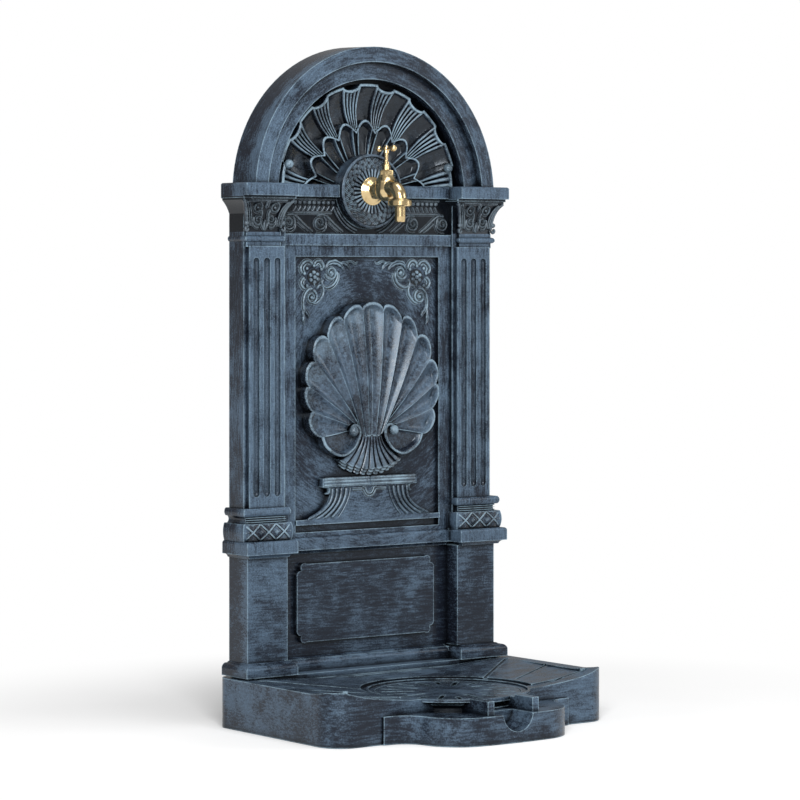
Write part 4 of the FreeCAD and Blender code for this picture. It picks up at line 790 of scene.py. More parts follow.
class Workshop:
    """Keeps the built materials, and dresses, names and fixes the pieces."""

    plain: dict[Paint, tuple[str, ...]] = {
        Paint.LEVEL: ("basin", "drain_grate"),
        Paint.UPRIGHT: ("column_front",),
        Paint.HIDDEN: ("back_panel",),
        Paint.CARVED: ("tympanum_relief", "tap_rosette", "scallop_shell"),
        Paint.STEEL: ("column_screws", "panel_screws", "relief_screws", "back_washer", "handle_screw"),
        Paint.BRASS: ("tap_body", "back_nut", "inlet_nipple", "bonnet", "gland_nut", "spindle", "tee_handle",
                      "jumper", "union_nut", "hose_tail"),
        Paint.RUBBER: ("flange_gasket", "inlet_seal", "bonnet_washer", "gland_packing", "valve_washer",
                       "tail_seal")}

    def __init__(self) -> None:
        """Builds the shader groups and starts with no materials."""
        self.effects = Effects()
        self.built: dict[Paint, bpy.types.Material] = {}

    def paint(self, finish: Paint) -> bpy.types.Material:
        """The material of a finish, built at its first use."""
        if finish not in self.built:
            self.built[finish] = finish.value.material(self.effects)
        return self.built[finish]

    def dress_nodes(self) -> None:
        """Gives every material slot of each CAD node its finish."""
        for finish, nodes in self.plain.items():
            for node in nodes:
                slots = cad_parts[node].data.materials
                if not slots:
                    slots.append(self.paint(finish))
                for place in range(len(slots)):
                    slots[place] = self.paint(finish)
                log.info("dressed %s with %s", node, finish.value.name)

    def fit(self, shape: Shape, name: str, finish: Paint,
            replaces: tuple[str, ...] = (), sharp: float = 35.0) -> None:
        """Builds a piece of the stand, dresses it and fixes it.

        Args:
            shape: the piece's surfaces.
            name: the piece's name.
            finish: what it is painted with.
            replaces: CAD nodes that it stands for.
            sharp: the angle from which an edge stays crisp, in degrees.
        """
        piece = shape.build(name, sharp)
        piece.data.materials.append(self.paint(finish))
        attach(piece, "stand")
        if replaces:
            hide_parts(*replaces)
        log.info("built %s with %d faces", name, len(piece.data.polygons))


# Carved pieces
@dataclass
class Fans:
    """Two fans in the arch: hollow lobes between ribs, drawn on polar lines round the arch's centre.

    Angles are degrees from the vertical, and heights go forward from the rear plane. Crests and hollows
    are profiles of height by radius, and the cup is one of height by the distance from the rim.
    """

    centre: float = 593.0
    floor: float = 604.0
    rear: float = -7.5
    least_height: float = 10.4
    spread: float = 89.0
    rounding: float = 0.9
    outer_rim: float = 127.0
    outer_notch: float = 5.6
    outer_height: float = 27.0
    outer_pitch: float = 22.2
    outer_lip: Point = (3.9, 2.9)
    outer_crest: Line = ((60.0, 17.6), (80.0, 17.4), (88.0, 16.8), (96.0, 16.9), (104.0, 18.4), (112.0, 21.4),
                         (119.0, 24.8), (122.0, 26.6), (127.0, 27.0))
    outer_hollow: Line = ((60.0, 10.6), (80.0, 10.8), (92.0, 11.2), (102.0, 12.8), (110.0, 15.6), (117.0, 19.4),
                          (121.5, 22.6), (124.0, 25.0), (127.0, 26.0))
    overlap: float = 1.2
    scoop: float = 1.6
    notch_half: float = 5.3
    group_half: Line = ((78.0, 4.6), (122.0, 6.6))
    last_group: float = 83.5
    last_group_from: float = 71.6
    last_group_squeeze: float = 0.72
    ribs: int = 5
    rib_depth: float = 3.4
    ball_angle: float = 73.7
    ball_reach: float = 117.3
    ball_height: float = 28.5
    ball_radius: float = 5.3
    inner_start: float = 40.0
    inner_tip: float = 86.3
    inner_valley: float = 74.0
    inner_height: float = 20.6
    inner_pitch: float = 21.0
    inner_lip: Point = (3.3, 2.4)
    inner_crest: Line = ((40.0, 15.0), (50.0, 16.0), (62.0, 17.4), (74.0, 19.6), (87.0, 20.6))
    inner_cup: Line = ((0.0, 20.6), (2.6, 20.6), (3.6, 18.6), (8.0, 14.2), (14.0, 12.4), (24.0, 12.0), (46.0, 13.0))
    rib_offset: float = 7.4
    rib_width: float = 1.05

    def sheet(self, angle: Array, radius: Array, gap: Array, height: Array, lip: Array,
              top: float) -> Array:
        """The points of a fan, whose height goes over into a flat lip that is rounded at its border.

        x is the radius times the angle's sine, and z the centre plus the radius times the cosine.

        Args:
            angle: degrees from the vertical.
            radius: distance from the arch's centre.
            gap: distance from the rim.
            height: height of the hollow part.
            lip: 1 on the lip and 0 in the hollow part.
            top: height of the lip.

        Returns:
            The front sheet.
        """
        height = height * (1.0 - lip) + lip * (top - self.rounding * smooth(gap, self.rounding, 0.0))
        turn = np.radians(angle)
        z = np.maximum(self.centre + radius * np.cos(turn), self.floor)
        return stack(radius * np.sin(turn), -np.maximum(height, self.least_height), z)

    def group_offset(self, angle: Array) -> Array:
        """Degrees from the nearest group of ribs, whose middles lie half a pitch beside the lobes."""
        steps = np.round(angle / self.outer_pitch - 0.5)
        offset = angle - (steps + 0.5) * self.outer_pitch
        last = (angle - self.last_group * np.sign(angle)) * self.last_group_squeeze
        return np.where(np.abs(angle) > self.last_group_from, last, offset)

    def outer_edge(self, angle: Array) -> Array:
        """Radius of the large fan's rim: a circle with a round notch at each group of ribs."""
        offset = np.abs(self.group_offset(angle))
        notch = np.sqrt(np.clip(1.0 - (offset / self.notch_half) ** 2, 0.0, 1.0))
        notch = np.where(np.abs(angle) > self.ball_angle, np.maximum(notch, 0.9), notch)
        return self.outer_rim - self.outer_notch * notch

    def inner_edge(self, angle: Array) -> Array:
        """Radius of the small fan's rim: a ruffle whose tips are broader than its valleys."""
        wave = 0.5 + 0.5 * np.cos(2.0 * np.pi * angle / self.inner_pitch)
        return self.inner_valley + (self.inner_tip - self.inner_valley) * wave ** 0.62

    def outer(self, shape: Shape) -> None:
        """The large fan: a bowl whose ribs stand above the lobes, and a ball near each end of its rim."""
        angle = np.linspace(-self.spread, self.spread, 961)[None, :]
        along = np.linspace(0.0, 1.0, 66)[:, None] ** 0.8
        start, edge = self.inner_edge(angle) - self.overlap, self.outer_edge(angle)
        reach = start + (edge - start) * along
        gap = edge - reach
        offset, half = self.group_offset(angle), follow(reach, self.group_half)
        across = offset / half
        inside = 1.0 - smooth(np.abs(across), 0.97, 1.08)
        wave = np.abs(np.sin(np.pi * (across + 1.0) * 0.5 * self.ribs))
        ribbed = follow(reach, self.outer_crest) - self.rib_depth * (1.0 - wave ** 0.7)
        to_side = np.clip((np.abs(offset) - half) / (self.outer_pitch * 0.5 - half), 0.0, 1.0)
        scooped = follow(reach, self.outer_hollow) - self.scoop * np.sin(0.5 * np.pi * to_side)
        height = inside * ribbed + (1.0 - inside) * scooped
        lip = smooth(gap, *self.outer_lip)
        wear_and_shade = np.maximum(lip * 0.9, inside * smooth(wave, 0.6, 0.97) * 0.7)
        # Painted shade: the grooves between ribs and the hollow lobes are left unpainted and darkened.
        wear_and_shade = wear_and_shade - inside * smooth(wave, 0.6, 0.2) * (1.0 - lip) - 0.85 * (1.0 - inside) * (1.0 - lip)
        shape.relief(self.sheet(angle, reach, gap, height, lip, self.outer_height), self.rear, wear_and_shade=wear_and_shade)
        for side in SIDES:
            turn = math.radians(self.ball_angle) * side
            shape.ball((self.ball_reach * math.sin(turn), -self.ball_height,
                        self.centre + self.ball_reach * math.cos(turn)), self.ball_radius)

    def inner(self, shape: Shape) -> None:
        """The small fan: deep cups, with a pair of thin ribs running inwards from each valley."""
        angle = np.linspace(-self.spread, self.spread, 841)[None, :]
        along = np.linspace(0.0, 1.0, 60)[:, None] ** 0.75
        edge = self.inner_edge(angle)
        reach = self.inner_start + (edge - self.inner_start) * along
        gap = edge - reach
        offset = np.abs(angle - np.round(angle / self.inner_pitch) * self.inner_pitch)
        from_rib = (offset - self.rib_offset) * np.radians(1.0) * reach
        rib = np.exp(-(from_rib / self.rib_width) ** 2)
        cup = follow(gap, self.inner_cup)
        height = cup * (1.0 - rib) + np.maximum(cup, follow(reach, self.inner_crest)) * rib
        lip = smooth(gap, *self.inner_lip)
        # Painted shade: the cups away from the ribs and lip are left unpainted and darkened.
        wear_and_shade = np.maximum(lip * 0.9, 0.65 * smooth(rib, 0.45, 0.9)) - 0.9 * (1.0 - lip) * (1.0 - rib)
        shape.relief(self.sheet(angle, reach, gap, height, lip, self.inner_height), self.rear, wear_and_shade=wear_and_shade)

    def build(self, shop: Workshop) -> None:
        """Builds both fans as one carved piece."""
        shape = Shape()
        self.outer(shape)
        self.inner(shape)
        shop.fit(shape, "fans", Paint.CARVED, replaces=("tympanum_relief",))


@dataclass
class Scallop:
    """The large scallop shell: fifteen hollow channels that run from a curled rim down to a narrow throat.

    Cusps, tips and roots are (x, z) of the right half, from the top round to the last lobe.
    """

    rear: float = -19.6
    face: float = 35.0
    cusps: Line = ((14.9, 463.0), (41.7, 450.0), (63.7, 430.5), (81.4, 404.3), (89.8, 376.5), (84.8, 348.0),
                   (72.1, 318.8))
    tips: Line = ((0.0, 471.0), (28.3, 466.5), (55.2, 452.0), (79.9, 427.7), (93.0, 394.6), (94.7, 364.5),
                  (87.6, 330.5))
    scroll: Line = ((72.1, 318.8), (66.0, 307.0), (52.0, 297.6), (39.6, 296.3), (26.8, 303.1), (18.0, 315.0),
                    (16.3, 324.7), (20.0, 331.2), (26.5, 332.4), (31.0, 329.5))
    scroll_from: float = 6.5
    roots: Line = ((4.8, 318.0), (9.6, 318.0), (14.2, 321.0), (18.5, 331.5), (25.5, 333.5), (33.5, 331.0),
                   (36.5, 324.5))
    root_places: tuple[float, ...] = (-0.5, 0.5, 1.5, 2.5, 3.5, 4.5, 5.5, 6.5, 6.75, 7.5)
    eye: Point = (28.3, 324.6)
    eye_radius: float = 5.9
    depth: float = 8.2
    channel_widths: Point = (4.8, 24.5)
    last_width: float = 26.0
    swell: float = 3.4
    throat_drop: float = 1.5
    lip: float = 3.2
    lip_rounding: Point = (0.9, 0.8)
    foot_ribs: int = 9
    foot_layers: int = 3
    foot_halves: Point = (16.6, 44.0)
    foot_heights: Point = (319.5, 282.5)
    foot_back: float = 2.4
    layer_steps: Place = (2.0, 3.2, 3.4)
    hem_rise: float = 10.5
    hem_waves: float = 2.2

    def rim(self, place: Array) -> Array:
        """The rim of the right half.

        Between two cusps it is the straight line plus the tip's offset times a flattened half circle. The
        last lobe follows its own smooth line round to the eye.

        Args:
            place: 0 at the top, 0.5 at the first cusp and one more at each cusp after it.

        Returns:
            The (x, z) points.
        """
        cusps, tips = np.array(self.cusps), np.array(self.tips)
        starts = np.vstack([cusps[:1] * (-1.0, 1.0), cusps[:-1]])
        lobe = np.clip((place + 0.5).astype(int), 0, len(tips) - 1)
        part = np.clip(place + 0.5 - lobe, 0.0, 1.0)[:, None]
        begin, end = starts[lobe], cusps[lobe]
        swell = (4.0 * part * (1.0 - part)) ** 0.62
        line = begin * (1.0 - part) + end * part + (tips[lobe] - 0.5 * (begin + end)) * swell
        last = spline(self.scroll, 400)
        curl = between(np.clip(place - self.scroll_from, 0.0, 1.0), np.linspace(0.0, 1.0, len(last)), last)
        return np.where((place > self.scroll_from)[:, None], curl, line)

    def root(self, place: Array) -> Array:
        """Where the channels end at the throat, and at the eye for the last lobe."""
        first = (-self.roots[0][0], self.roots[0][1])
        return between(place, self.root_places, (first, *self.roots, self.eye, self.eye))

    def half(self, shape: Shape, side: float) -> None:
        """One half of the shell, as a grid of places along the rim and shares of the way out to it.

        The height is the domed face less a half sine across each channel, which fades towards the throat
        and stops short of the raised lip.
        """
        ends = self.scroll_from, self.scroll_from + 1.0
        place = np.concatenate([np.linspace(0.0, ends[0], 313), np.linspace(*ends, 72)[1:]])
        share = np.linspace(0.0, 1.0, 72)[:, None] ** 0.8
        rim, root = self.rim(place)[None], self.root(place)[None]
        line = root + (rim - root) * share[..., None]
        last = place > self.scroll_from
        cross = np.abs(np.sin(np.pi * np.mod(place + 0.5, 1.0))) ** np.where(last, 0.35, 0.85)
        gap = np.linalg.norm(rim - root, axis=-1) * (1.0 - share)
        narrow, wide = self.channel_widths
        width = np.where(last, self.last_width, wide * share + narrow * (1.0 - share))
        bowl = smooth(gap, self.lip - 0.4, self.lip + 5.0)
        dome = self.face + self.swell * np.sin(np.pi * share ** 0.9) - self.throat_drop * (1.0 - share)
        face = np.where(last, self.face - 0.5 * (1.0 - share), dome)
        height = face - np.minimum(self.depth, 0.33 * width) * cross * bowl
        fall, border = self.lip_rounding
        height = np.where(gap < self.lip, np.maximum(height, self.face), height) - fall * smooth(gap, border, 0.0)
        lip = smooth(gap, self.lip + 0.3, self.lip - 0.6)
        # Painted light: the tips of the left half get paler paint than those of the right, as the light falls from the
        # left.
        left_light = 1.0 - 0.35 * side * np.sin(np.pi * np.minimum(place / self.scroll_from, 1.0))
        tips = 0.3 * smooth(share, 0.45, 1.0) * left_light * np.where(last, 0.5, 1.0)
        ridges = 0.5 * (1.0 - smooth(cross, 0.0, 0.22)) * np.where(last, 0.0, 1.0)
        # Painted shade: lowering the mark by 0.15 leaves the channels partly unpainted and a little darkened.
        wear_and_shade = np.maximum(np.maximum(0.85 * lip, ridges), tips) - 0.15
        shape.relief(stack(side * line[..., 0], -height, line[..., 1]), self.rear, wear_and_shade=wear_and_shade)

    def foot(self, shape: Shape) -> None:
        """The fluted foot: ribs that leave the throat and flare to a scalloped edge, in layers.

        Each layer is narrower, lies deeper and reaches lower than the one over it.
        """
        across = np.linspace(-1.0, 1.0, 271)[None, :]
        down = np.linspace(0.0, 1.0, 60)[:, None]
        rib = np.abs(np.sin(np.pi * (across + 1.0) * 0.5 * self.foot_ribs))
        (top, wide), (high, low) = self.foot_halves, self.foot_heights
        narrower, deeper, lower = self.layer_steps
        for layer in range(self.foot_layers):
            half = top + (wide - narrower * layer - top) * down ** 1.7
            hem = low - lower * layer + self.hem_rise * np.abs(across) ** 2.2
            z = high + (hem - self.hem_waves * rib ** 0.8 - high) * down
            depth = 2.6 * smooth(down, 0.0, 0.2) + 0.8
            rise = self.face - self.foot_back - deeper * layer - depth * (1.0 - rib ** 0.45)
            rise = rise + 1.6 * smooth(down, 0.45, 1.0) - 3.0 * np.abs(across) ** 3
            lip = smooth(down, 0.94, 0.98) * (0.8 if layer else 0.5)
            # Painted shade: the grooves between the ribs, and the top where the foot leaves the throat, are left
            # unpainted and darkened.
            wear_and_shade = np.maximum(0.22 * smooth(rib, 0.5, 0.9) * down, lip) - smooth(rib, 0.6, 0.2)
            wear_and_shade = wear_and_shade * smooth(down, 0.0, 0.06) - 0.9 * smooth(down, 0.06, 0.0)
            shape.relief(stack(across * half, -rise, z), self.rear, wear_and_shade=wear_and_shade)

    def build(self, shop: Workshop) -> None:
        """Builds the shell, its foot and the two eyes as one carved piece."""
        shape = Shape()
        for side in SIDES:
            self.half(shape, side)
            shape.ball((side * self.eye[0], -self.face - 0.5, self.eye[1]), self.eye_radius)
        self.foot(shape)
        shop.fit(shape, "scallop", Paint.CARVED, replaces=("scallop_shell",))


@dataclass
class Rosette:
    """The round plate behind the tap: a smooth rim, three rings of small leaves and a sunburst of flutes.

    Each ring of leaves is given by its radius, half width and phase.
    """

    centre: float = 597.2
    rear: float = -10.0
    front: float = 34.0
    base: float = 29.6
    hole: float = 11.0
    border: Place = (41.8, 42.1, 42.2)
    leaves: int = 22
    leaf_height: float = 2.6
    leaf_rings: tuple[Place, ...] = ((28.6, 3.4, 0.0), (32.6, 3.4, 0.5), (36.4, 3.0, 0.0))
    flutes: int = 30
    flute_height: float = 2.4

    def build(self, shop: Workshop) -> None:
        """Builds the plate from rings: the height is worked out from the distance and the angle round its middle."""
        turn = np.linspace(0.0, 2.0 * np.pi, 960, endpoint=False)[None, :]
        reach = np.concatenate([np.linspace(self.hole, 41.2, 84), self.border])[:, None]
        leaf = np.zeros((1, 1))
        for middle, half, phase in self.leaf_rings:
            ring = np.clip(1.0 - ((reach - middle) / half) ** 2, 0.0, 1.0) ** 0.5
            beat = np.abs(np.cos(self.leaves * 0.5 * turn + np.pi * phase)) ** 0.6
            serration = 0.75 + 0.25 * np.cos(self.leaves * 4.0 * turn + 2.2 * (reach - middle))
            leaf = np.maximum(leaf, ring * beat * serration)
        ray = np.abs(np.sin(self.flutes * 0.5 * turn)) ** 0.8
        in_rays = smooth(reach, 14.5, 16.5) * smooth(reach, 26.8, 24.8)
        in_leaves = smooth(reach, 25.0, 26.0) * smooth(reach, 39.4, 38.6)
        base = self.base + 1.6 * smooth(reach, 13.0, 16.0)
        height = base + self.flute_height * ray * in_rays + self.leaf_height * leaf * in_leaves
        rim = smooth(reach, 38.9, 39.8)
        height = height * (1.0 - rim) + rim * (self.front - 1.2 * smooth(reach, 41.0, self.border[-1]))
        # Painted shade: the grooves between the rays and between the leaves are left unpainted and darkened.
        wear_and_shade = in_rays * (2.0 * ray - 1.35) + in_leaves * (1.9 * leaf - 1.2) + rim * 0.12
        shape = Shape()
        shape.relief(stack(reach * np.cos(turn), -height, self.centre + reach * np.sin(turn)), self.rear,
                     around=True, wear_and_shade=wear_and_shade)
        shop.fit(shape, "rosette", Paint.CARVED, replaces=("tap_rosette",))


@dataclass
class CornerOrnaments:
    """The carved corner pieces of the tall panel: a flower in scrolled petals and two volutes with leaves."""

    depth: float = 20.0
    petals: tuple[Line, ...] = (
        ((88.8, 503.0), (91.6, 508.6), (88.8, 514.3), (83.3, 517.7), (77.8, 516.5), (75.0, 513.2)),
        ((73.0, 513.2), (70.9, 516.5), (66.7, 518.2), (62.6, 516.6), (59.8, 512.0), (60.5, 508.6)),
        ((86.1, 499.6), (90.2, 495.1), (90.9, 491.8), (88.2, 487.3), (84.7, 486.1)))
    petal_linings: tuple[Line, ...] = (
        ((85.4, 504.5), (87.4, 508.5), (85.6, 512.3), (81.9, 514.4), (79.0, 512.6)),
        ((69.8, 512.0), (67.0, 514.6), (63.9, 512.6), (63.4, 509.8)),
        ((84.4, 497.6), (87.2, 493.6), (86.4, 489.9)))
    knobs: Line = ((82.6, 509.2), (86.1, 503.4), (62.6, 508.1), (72.9, 512.0), (82.6, 489.5))
    knob_radius: float = 1.9
    flower: Point = (72.3, 499.2)
    # Radius of the plate of painted shade under the flower's balls.
    flower_ground: float = 9.6
    flower_petals: int = 6
    flower_ring: float = 5.4
    stalk: Line = ((72.3, 493.0), (72.3, 490.6), (71.6, 488.4))
    upper_volute: Point = (49.4, 504.3)
    upper_tail: Line = ((41.4, 506.0), (41.0, 499.6), (43.8, 493.4), (48.7, 489.4), (55.7, 487.3), (61.0, 490.0),
                        (62.0, 494.4), (59.2, 496.0))
    upper_lining: Line = ((38.6, 504.0), (38.2, 498.6), (41.0, 491.8), (46.9, 486.6), (53.9, 484.4))
    lower_volute: Point = (76.5, 476.5)
    lower_head: Line = ((69.0, 486.2), (66.6, 489.6), (62.6, 489.4), (60.2, 485.6), (60.6, 480.0), (63.6, 475.0),
                        (68.6, 470.6), (74.0, 468.8))
    lower_tail: Line = ((74.6, 486.2), (79.8, 485.6), (84.8, 481.2), (87.4, 474.0), (87.6, 466.0), (85.4, 459.0))

    def volute(self, carver: Carver, centre: Point, outer: float, turns: float, start: float) -> None:
        """A spiral with a ball in its eye."""
        carver.scroll(centre, outer, 1.6, turns, start, 1.25, 2.8)
        carver.ball(centre, 2.1, 0.4)

    def half(self, carver: Carver) -> None:
        """Carves one corner."""
        for points in self.petals:
            carver.line(points, 1.35, 2.6)
        for points in self.petal_linings:
            carver.line(points, 0.75, 1.5)
        for place in self.knobs:
            carver.ball(place, self.knob_radius)
        carver.ground(self.flower, self.flower_ground)
        for step in range(self.flower_petals):
            turn = math.radians(360 // self.flower_petals * step + 25)
            carver.ball((self.flower[0] + self.flower_ring * math.cos(turn),
                         self.flower[1] + self.flower_ring * math.sin(turn)), 2.35, 0.1)
        carver.ball(self.flower, 2.5, 0.5)
        carver.line(self.stalk, 1.2, 2.0, 0.7)
        self.volute(carver, self.upper_volute, 8.3, -1.55, -5.0)
        carver.line(self.upper_tail, 1.45, 3.0, 0.25)
        carver.line(self.upper_lining, 0.8, 1.7, 0.5)
        carver.leaf([(57.5, 508.0), (53.0, 514.6), (44.0, 516.4), (35.6, 512.6), (30.4, 506.6)], 3.6, 3.6, 5.0)
        carver.leaf([(37.0, 514.6), (31.0, 515.6), (25.4, 512.4), (22.6, 507.4)], 2.8, 3.0)
        carver.leaf([(29.0, 516.2), (22.0, 517.2), (15.4, 514.6), (11.6, 517.6)], 2.2, 2.6)
        self.volute(carver, self.lower_volute, 8.0, 1.5, 100.0)
        carver.line(self.lower_head, 1.45, 3.0, 0.2)
        carver.line(self.lower_tail, 1.35, 2.8, 0.3)
        carver.leaf([(86.8, 468.0), (84.0, 461.0), (80.4, 457.0), (79.6, 452.6)], 2.7, 3.0)
        carver.leaf([(88.4, 463.0), (87.2, 455.6), (87.6, 449.6), (85.6, 444.8)], 2.3, 2.8)

    def build(self, shop: Workshop) -> None:
        """Builds both corners as one carved piece."""
        shop.fit(carve_both(self.half, flat(self.depth)), "corner_ornaments", Paint.CARVED)


@dataclass
class Frieze:
    """The band below the cornice: beads over darts, a fillet, two running scrolls and a ring round the tap's plate."""

    depth: float = 21.0
    bead_height: float = 583.6
    bead_first: float = 47.2
    bead_pitch: float = 6.55
    bead_radius: float = 2.35
    beads: int = 9
    top_line: float = 587.4
    fillet_height: float = 571.6
    scroll_middles: Point = (66.0, 108.6)
    scroll_height: float = 560.6
    ring_centre: float = 597.2
    ring_radii: Point = (47.0, 50.6)
    ring_angles: Point = (15.5, 68.0)
    low: float = 549.0

    def half(self, carver: Carver) -> None:
        """Carves the half of the band on one side."""
        for step in range(self.beads):
            x = self.bead_first + self.bead_pitch * step
            carver.ball((x, self.bead_height), self.bead_radius, 0.3)
            carver.line([(x - 1.6, 580.0), (x + 0.4, 576.6), (x + 2.6, 573.6)], 1.25, 1.9, 0.6, 0.7)
        end = self.bead_first + self.bead_pitch * self.beads
        carver.line([(self.bead_first - 5.0, self.top_line), (end, self.top_line)], 0.9, 1.6)
        carver.line([(self.bead_first + 0.5, self.fillet_height), (end + 1.0, self.fillet_height)], 0.9, 1.8)
        for x in self.scroll_middles:
            carver.scroll((x, self.scroll_height), 9.2, 1.2, 1.75, 120.0, 1.2, 2.6)
            carver.scroll((x, self.scroll_height), 6.4, 2.6, 0.8, 135.0, 0.6, 1.6)
            carver.line([(x + 3.0, 569.2), (x - 5.5, 569.8), (x - 13.0, 565.6), (x - 22.0, 558.2), (x - 33.5, 550.0)],
                        1.25, 2.8, 0.3)
            carver.line([(x - 11.6, 561.0), (x - 20.0, 554.8), (x - 27.0, 550.2)], 0.8, 1.8, 0.3)
            carver.line([(x - 9.6, 560.0), (x - 8.4, 554.4), (x - 3.4, 550.4), (x + 4.0, 549.8)], 1.0, 2.0, 0.4)
        angle = np.radians(np.linspace(*self.ring_angles, 24))
        for radius in self.ring_radii:
            path = np.stack([radius * np.sin(angle), self.ring_centre - radius * np.cos(angle)], axis=-1)
            carver.shape.rod(carver.on(path[path[:, 1] > self.low]), 1.2, 2.8, sides=8)

    def build(self, shop: Workshop) -> None:
        """Builds both halves as one carved piece."""
        shop.fit(carve_both(self.half, flat(self.depth)), "frieze_carving", Paint.BRONZED)


@dataclass
class Capitals:
    """The carved work on the hollow curve of each capital: rings, scrolls, a bud, and leaves down the corners."""

    middle: float = 149.5
    half_width: float = 23.0
    least_depth: float = 32.5
    face: Line = ((548.7, 32.5), (556.0, 32.6), (564.0, 33.5), (571.0, 35.1), (577.0, 37.4), (582.0, 40.5),
                  (585.0, 43.4), (590.0, 43.6))
    line_heights: Point = (588.0, 584.6)
    line_half: float = 26.0
    ring_offset: float = 11.5
    corner_heights: Point = (586.0, 553.0)
    inner_lines: Point = (-3.6, -6.2)
    curl: Line = ((0.6, 553.6), (3.4, 550.8), (5.4, 552.6), (4.4, 555.8))
    curl_depth: float = 34.4

    def depth(self, x: Array, z: Array) -> Array:
        """Depth of the hollow curve at a height."""
        return follow(z, self.face) + 0.0 * x

    def corner(self, shape: Shape, side: float, outer: float) -> None:
        """A leaf down one corner of the bell, two lines inside it, and a ball in its curl.

        Args:
            shape: the surfaces it is added to.
            side: 1 for the right capital and -1 for the left.
            outer: 1 for the capital's corner away from the middle of the column, else -1.
        """
        z = np.linspace(*self.corner_heights, 22)
        out = follow(z, self.face) - self.least_depth
        x = self.middle + outer * (self.half_width + out - 0.4)
        shape.rod(stack(side * x, -self.least_depth - out + 0.4, z), 2.1, 2.6, wear_and_shade=0.8)
        for shift in self.inner_lines:
            inward = stack(side * (x + outer * shift), -self.least_depth - out - 0.1, z - 1.5)
            shape.rod(inward[:20], 0.9, 1.7, sides=8, wear_and_shade=0.85)
        shape.ball((side * (self.middle + outer * (self.half_width + 1.6)), -34.6, 559.4), 2.9, 12)
        curl = spline(self.curl, 20)
        x = side * (self.middle + outer * (self.half_width - 2.0 + curl[:, 0]))
        shape.rod(stack(x, -self.curl_depth, curl[:, 1]), 1.6, 2.2, sides=8)

    def half(self, carver: Carver) -> None:
        """Carves one capital."""
        m = self.middle
        for z in self.line_heights:
            carver.line([(m - self.line_half, z), (m, z), (m + self.line_half, z)], 0.95, 1.9)
        for side in SIDES:
            ring = m + side * self.ring_offset
            carver.scroll((ring, 576.8), 5.4, 4.4, 1.05, 90.0, 1.1, 2.4)
            carver.ball((ring, 576.6), 1.5, 0.2)
            carver.scroll((m + side * 8.6, 563.0), 6.4, 1.4, -side * 1.5, 90.0 - side * 60.0, 1.15, 2.5)
            carver.line([(ring - side * 5.4, 574.6), (m + side * 4.4, 569.0), (m + side * 5.6, 563.0),
                         (m + side * 3.2, 556.0), (m, 551.6)], 1.1, 2.4, 0.3)
            carver.line([(m + side * 14.6, 566.0), (m + side * 15.6, 560.0), (m + side * 12.2, 555.0),
                         (m + side * 7.0, 554.2)], 0.9, 1.8, 0.3)
        carver.leaf([(m, 585.0), (m, 580.0), (m, 574.6)], 3.4, 3.2, 2.0)
        carver.leaf([(m, 563.4), (m, 557.4), (m, 550.6)], 2.9, 3.6, 1.0)
        for outer in SIDES:
            self.corner(carver.shape, carver.side, outer)

    def build(self, shop: Workshop) -> None:
        """Builds both capitals' carving as one piece."""
        shop.fit(carve_both(self.half, self.depth), "capital_carving", Paint.BRONZED)


@dataclass
class ConsoleCarving:
    """The console's carving: lines on its bar, fanned ribs down each side, a tablet's edge and two hanging scrolls.

    Each rib has a place at the top and at the foot, and a half width and height as its size.
    """

    depth: float = 27.0
    bar_depth: float = 29.0
    bar_end: float = 65.3
    # Half width added for the strip of painted shade beside the bar's lines.
    bar_outline: float = 0.5
    bar_lines: Line = ((271.0, 0.9), (267.8, 1.1), (264.0, 0.9))
    top: float = 261.0
    foot: float = 226.6
    rib_tops: tuple[float, ...] = (52.6, 46.4, 40.0, 33.4, 27.4)
    rib_feet: tuple[float, ...] = (86.0, 74.6, 64.4, 54.6, 44.6)
    rib_sizes: Line = ((1.7, 2.6),) * 4 + ((0.9, 1.4),)
    rib_power: float = 3.0
    rib_power_step: float = -0.28
    tablet_edge: Line = ((0.0, 249.6), (3.4, 250.4), (6.4, 253.2), (8.6, 256.8), (12.6, 257.8), (24.0, 257.8))
    tablet_lining: Line = ((0.0, 252.6), (2.6, 253.4), (4.8, 256.0), (6.2, 259.4), (10.0, 260.8))
    ball: Point = (60.0, 257.6)
    ball_radius: float = 4.2
    ball_rise: float = -3.2
    scroll: Line = ((64.0, 261.6), (58.6, 262.0), (56.0, 258.6), (57.4, 255.0), (61.2, 254.4))
    scroll_depth: float = 24.6

    def half(self, carver: Carver) -> None:
        """Carves one half: each rib leaves the bar upright and swings outwards with a power of its way down."""
        share = np.linspace(0.0, 1.0, 26)
        for order, (high, low, size) in enumerate(zip(self.rib_tops, self.rib_feet, self.rib_sizes)):
            x = high + (low - high) * share ** (self.rib_power + self.rib_power_step * order)
            path = np.stack([x, self.top + (self.foot - self.top) * share], axis=-1)
            carver.shape.rod(carver.on(path), *size, sides=8, wear_and_shade=0.35)
        carver.line(self.tablet_edge, 0.9, 1.5, wear_and_shade=0.5)
        carver.line(self.tablet_lining, 0.8, 1.5, wear_and_shade=0.5)
        carver.ball(self.ball, self.ball_radius, self.ball_rise)
        bar = Carver(carver.shape, flat(self.bar_depth), carver.side, self.bar_outline)
        for z, width in self.bar_lines:
            bar.line([(0.0, z), (32.0, z), (self.bar_end, z)], width, 0.9, wear_and_shade=0.5)
        path = spline(self.scroll, 30)
        carver.shape.rod(stack(carver.side * path[:, 0], -self.scroll_depth, path[:, 1]), 1.5, 4.2, sides=8)

    def build(self, shop: Workshop) -> None:
        """Builds both halves as one carved piece."""
        shop.fit(carve_both(self.half, flat(self.depth)), "console_carving", Paint.CARVED)


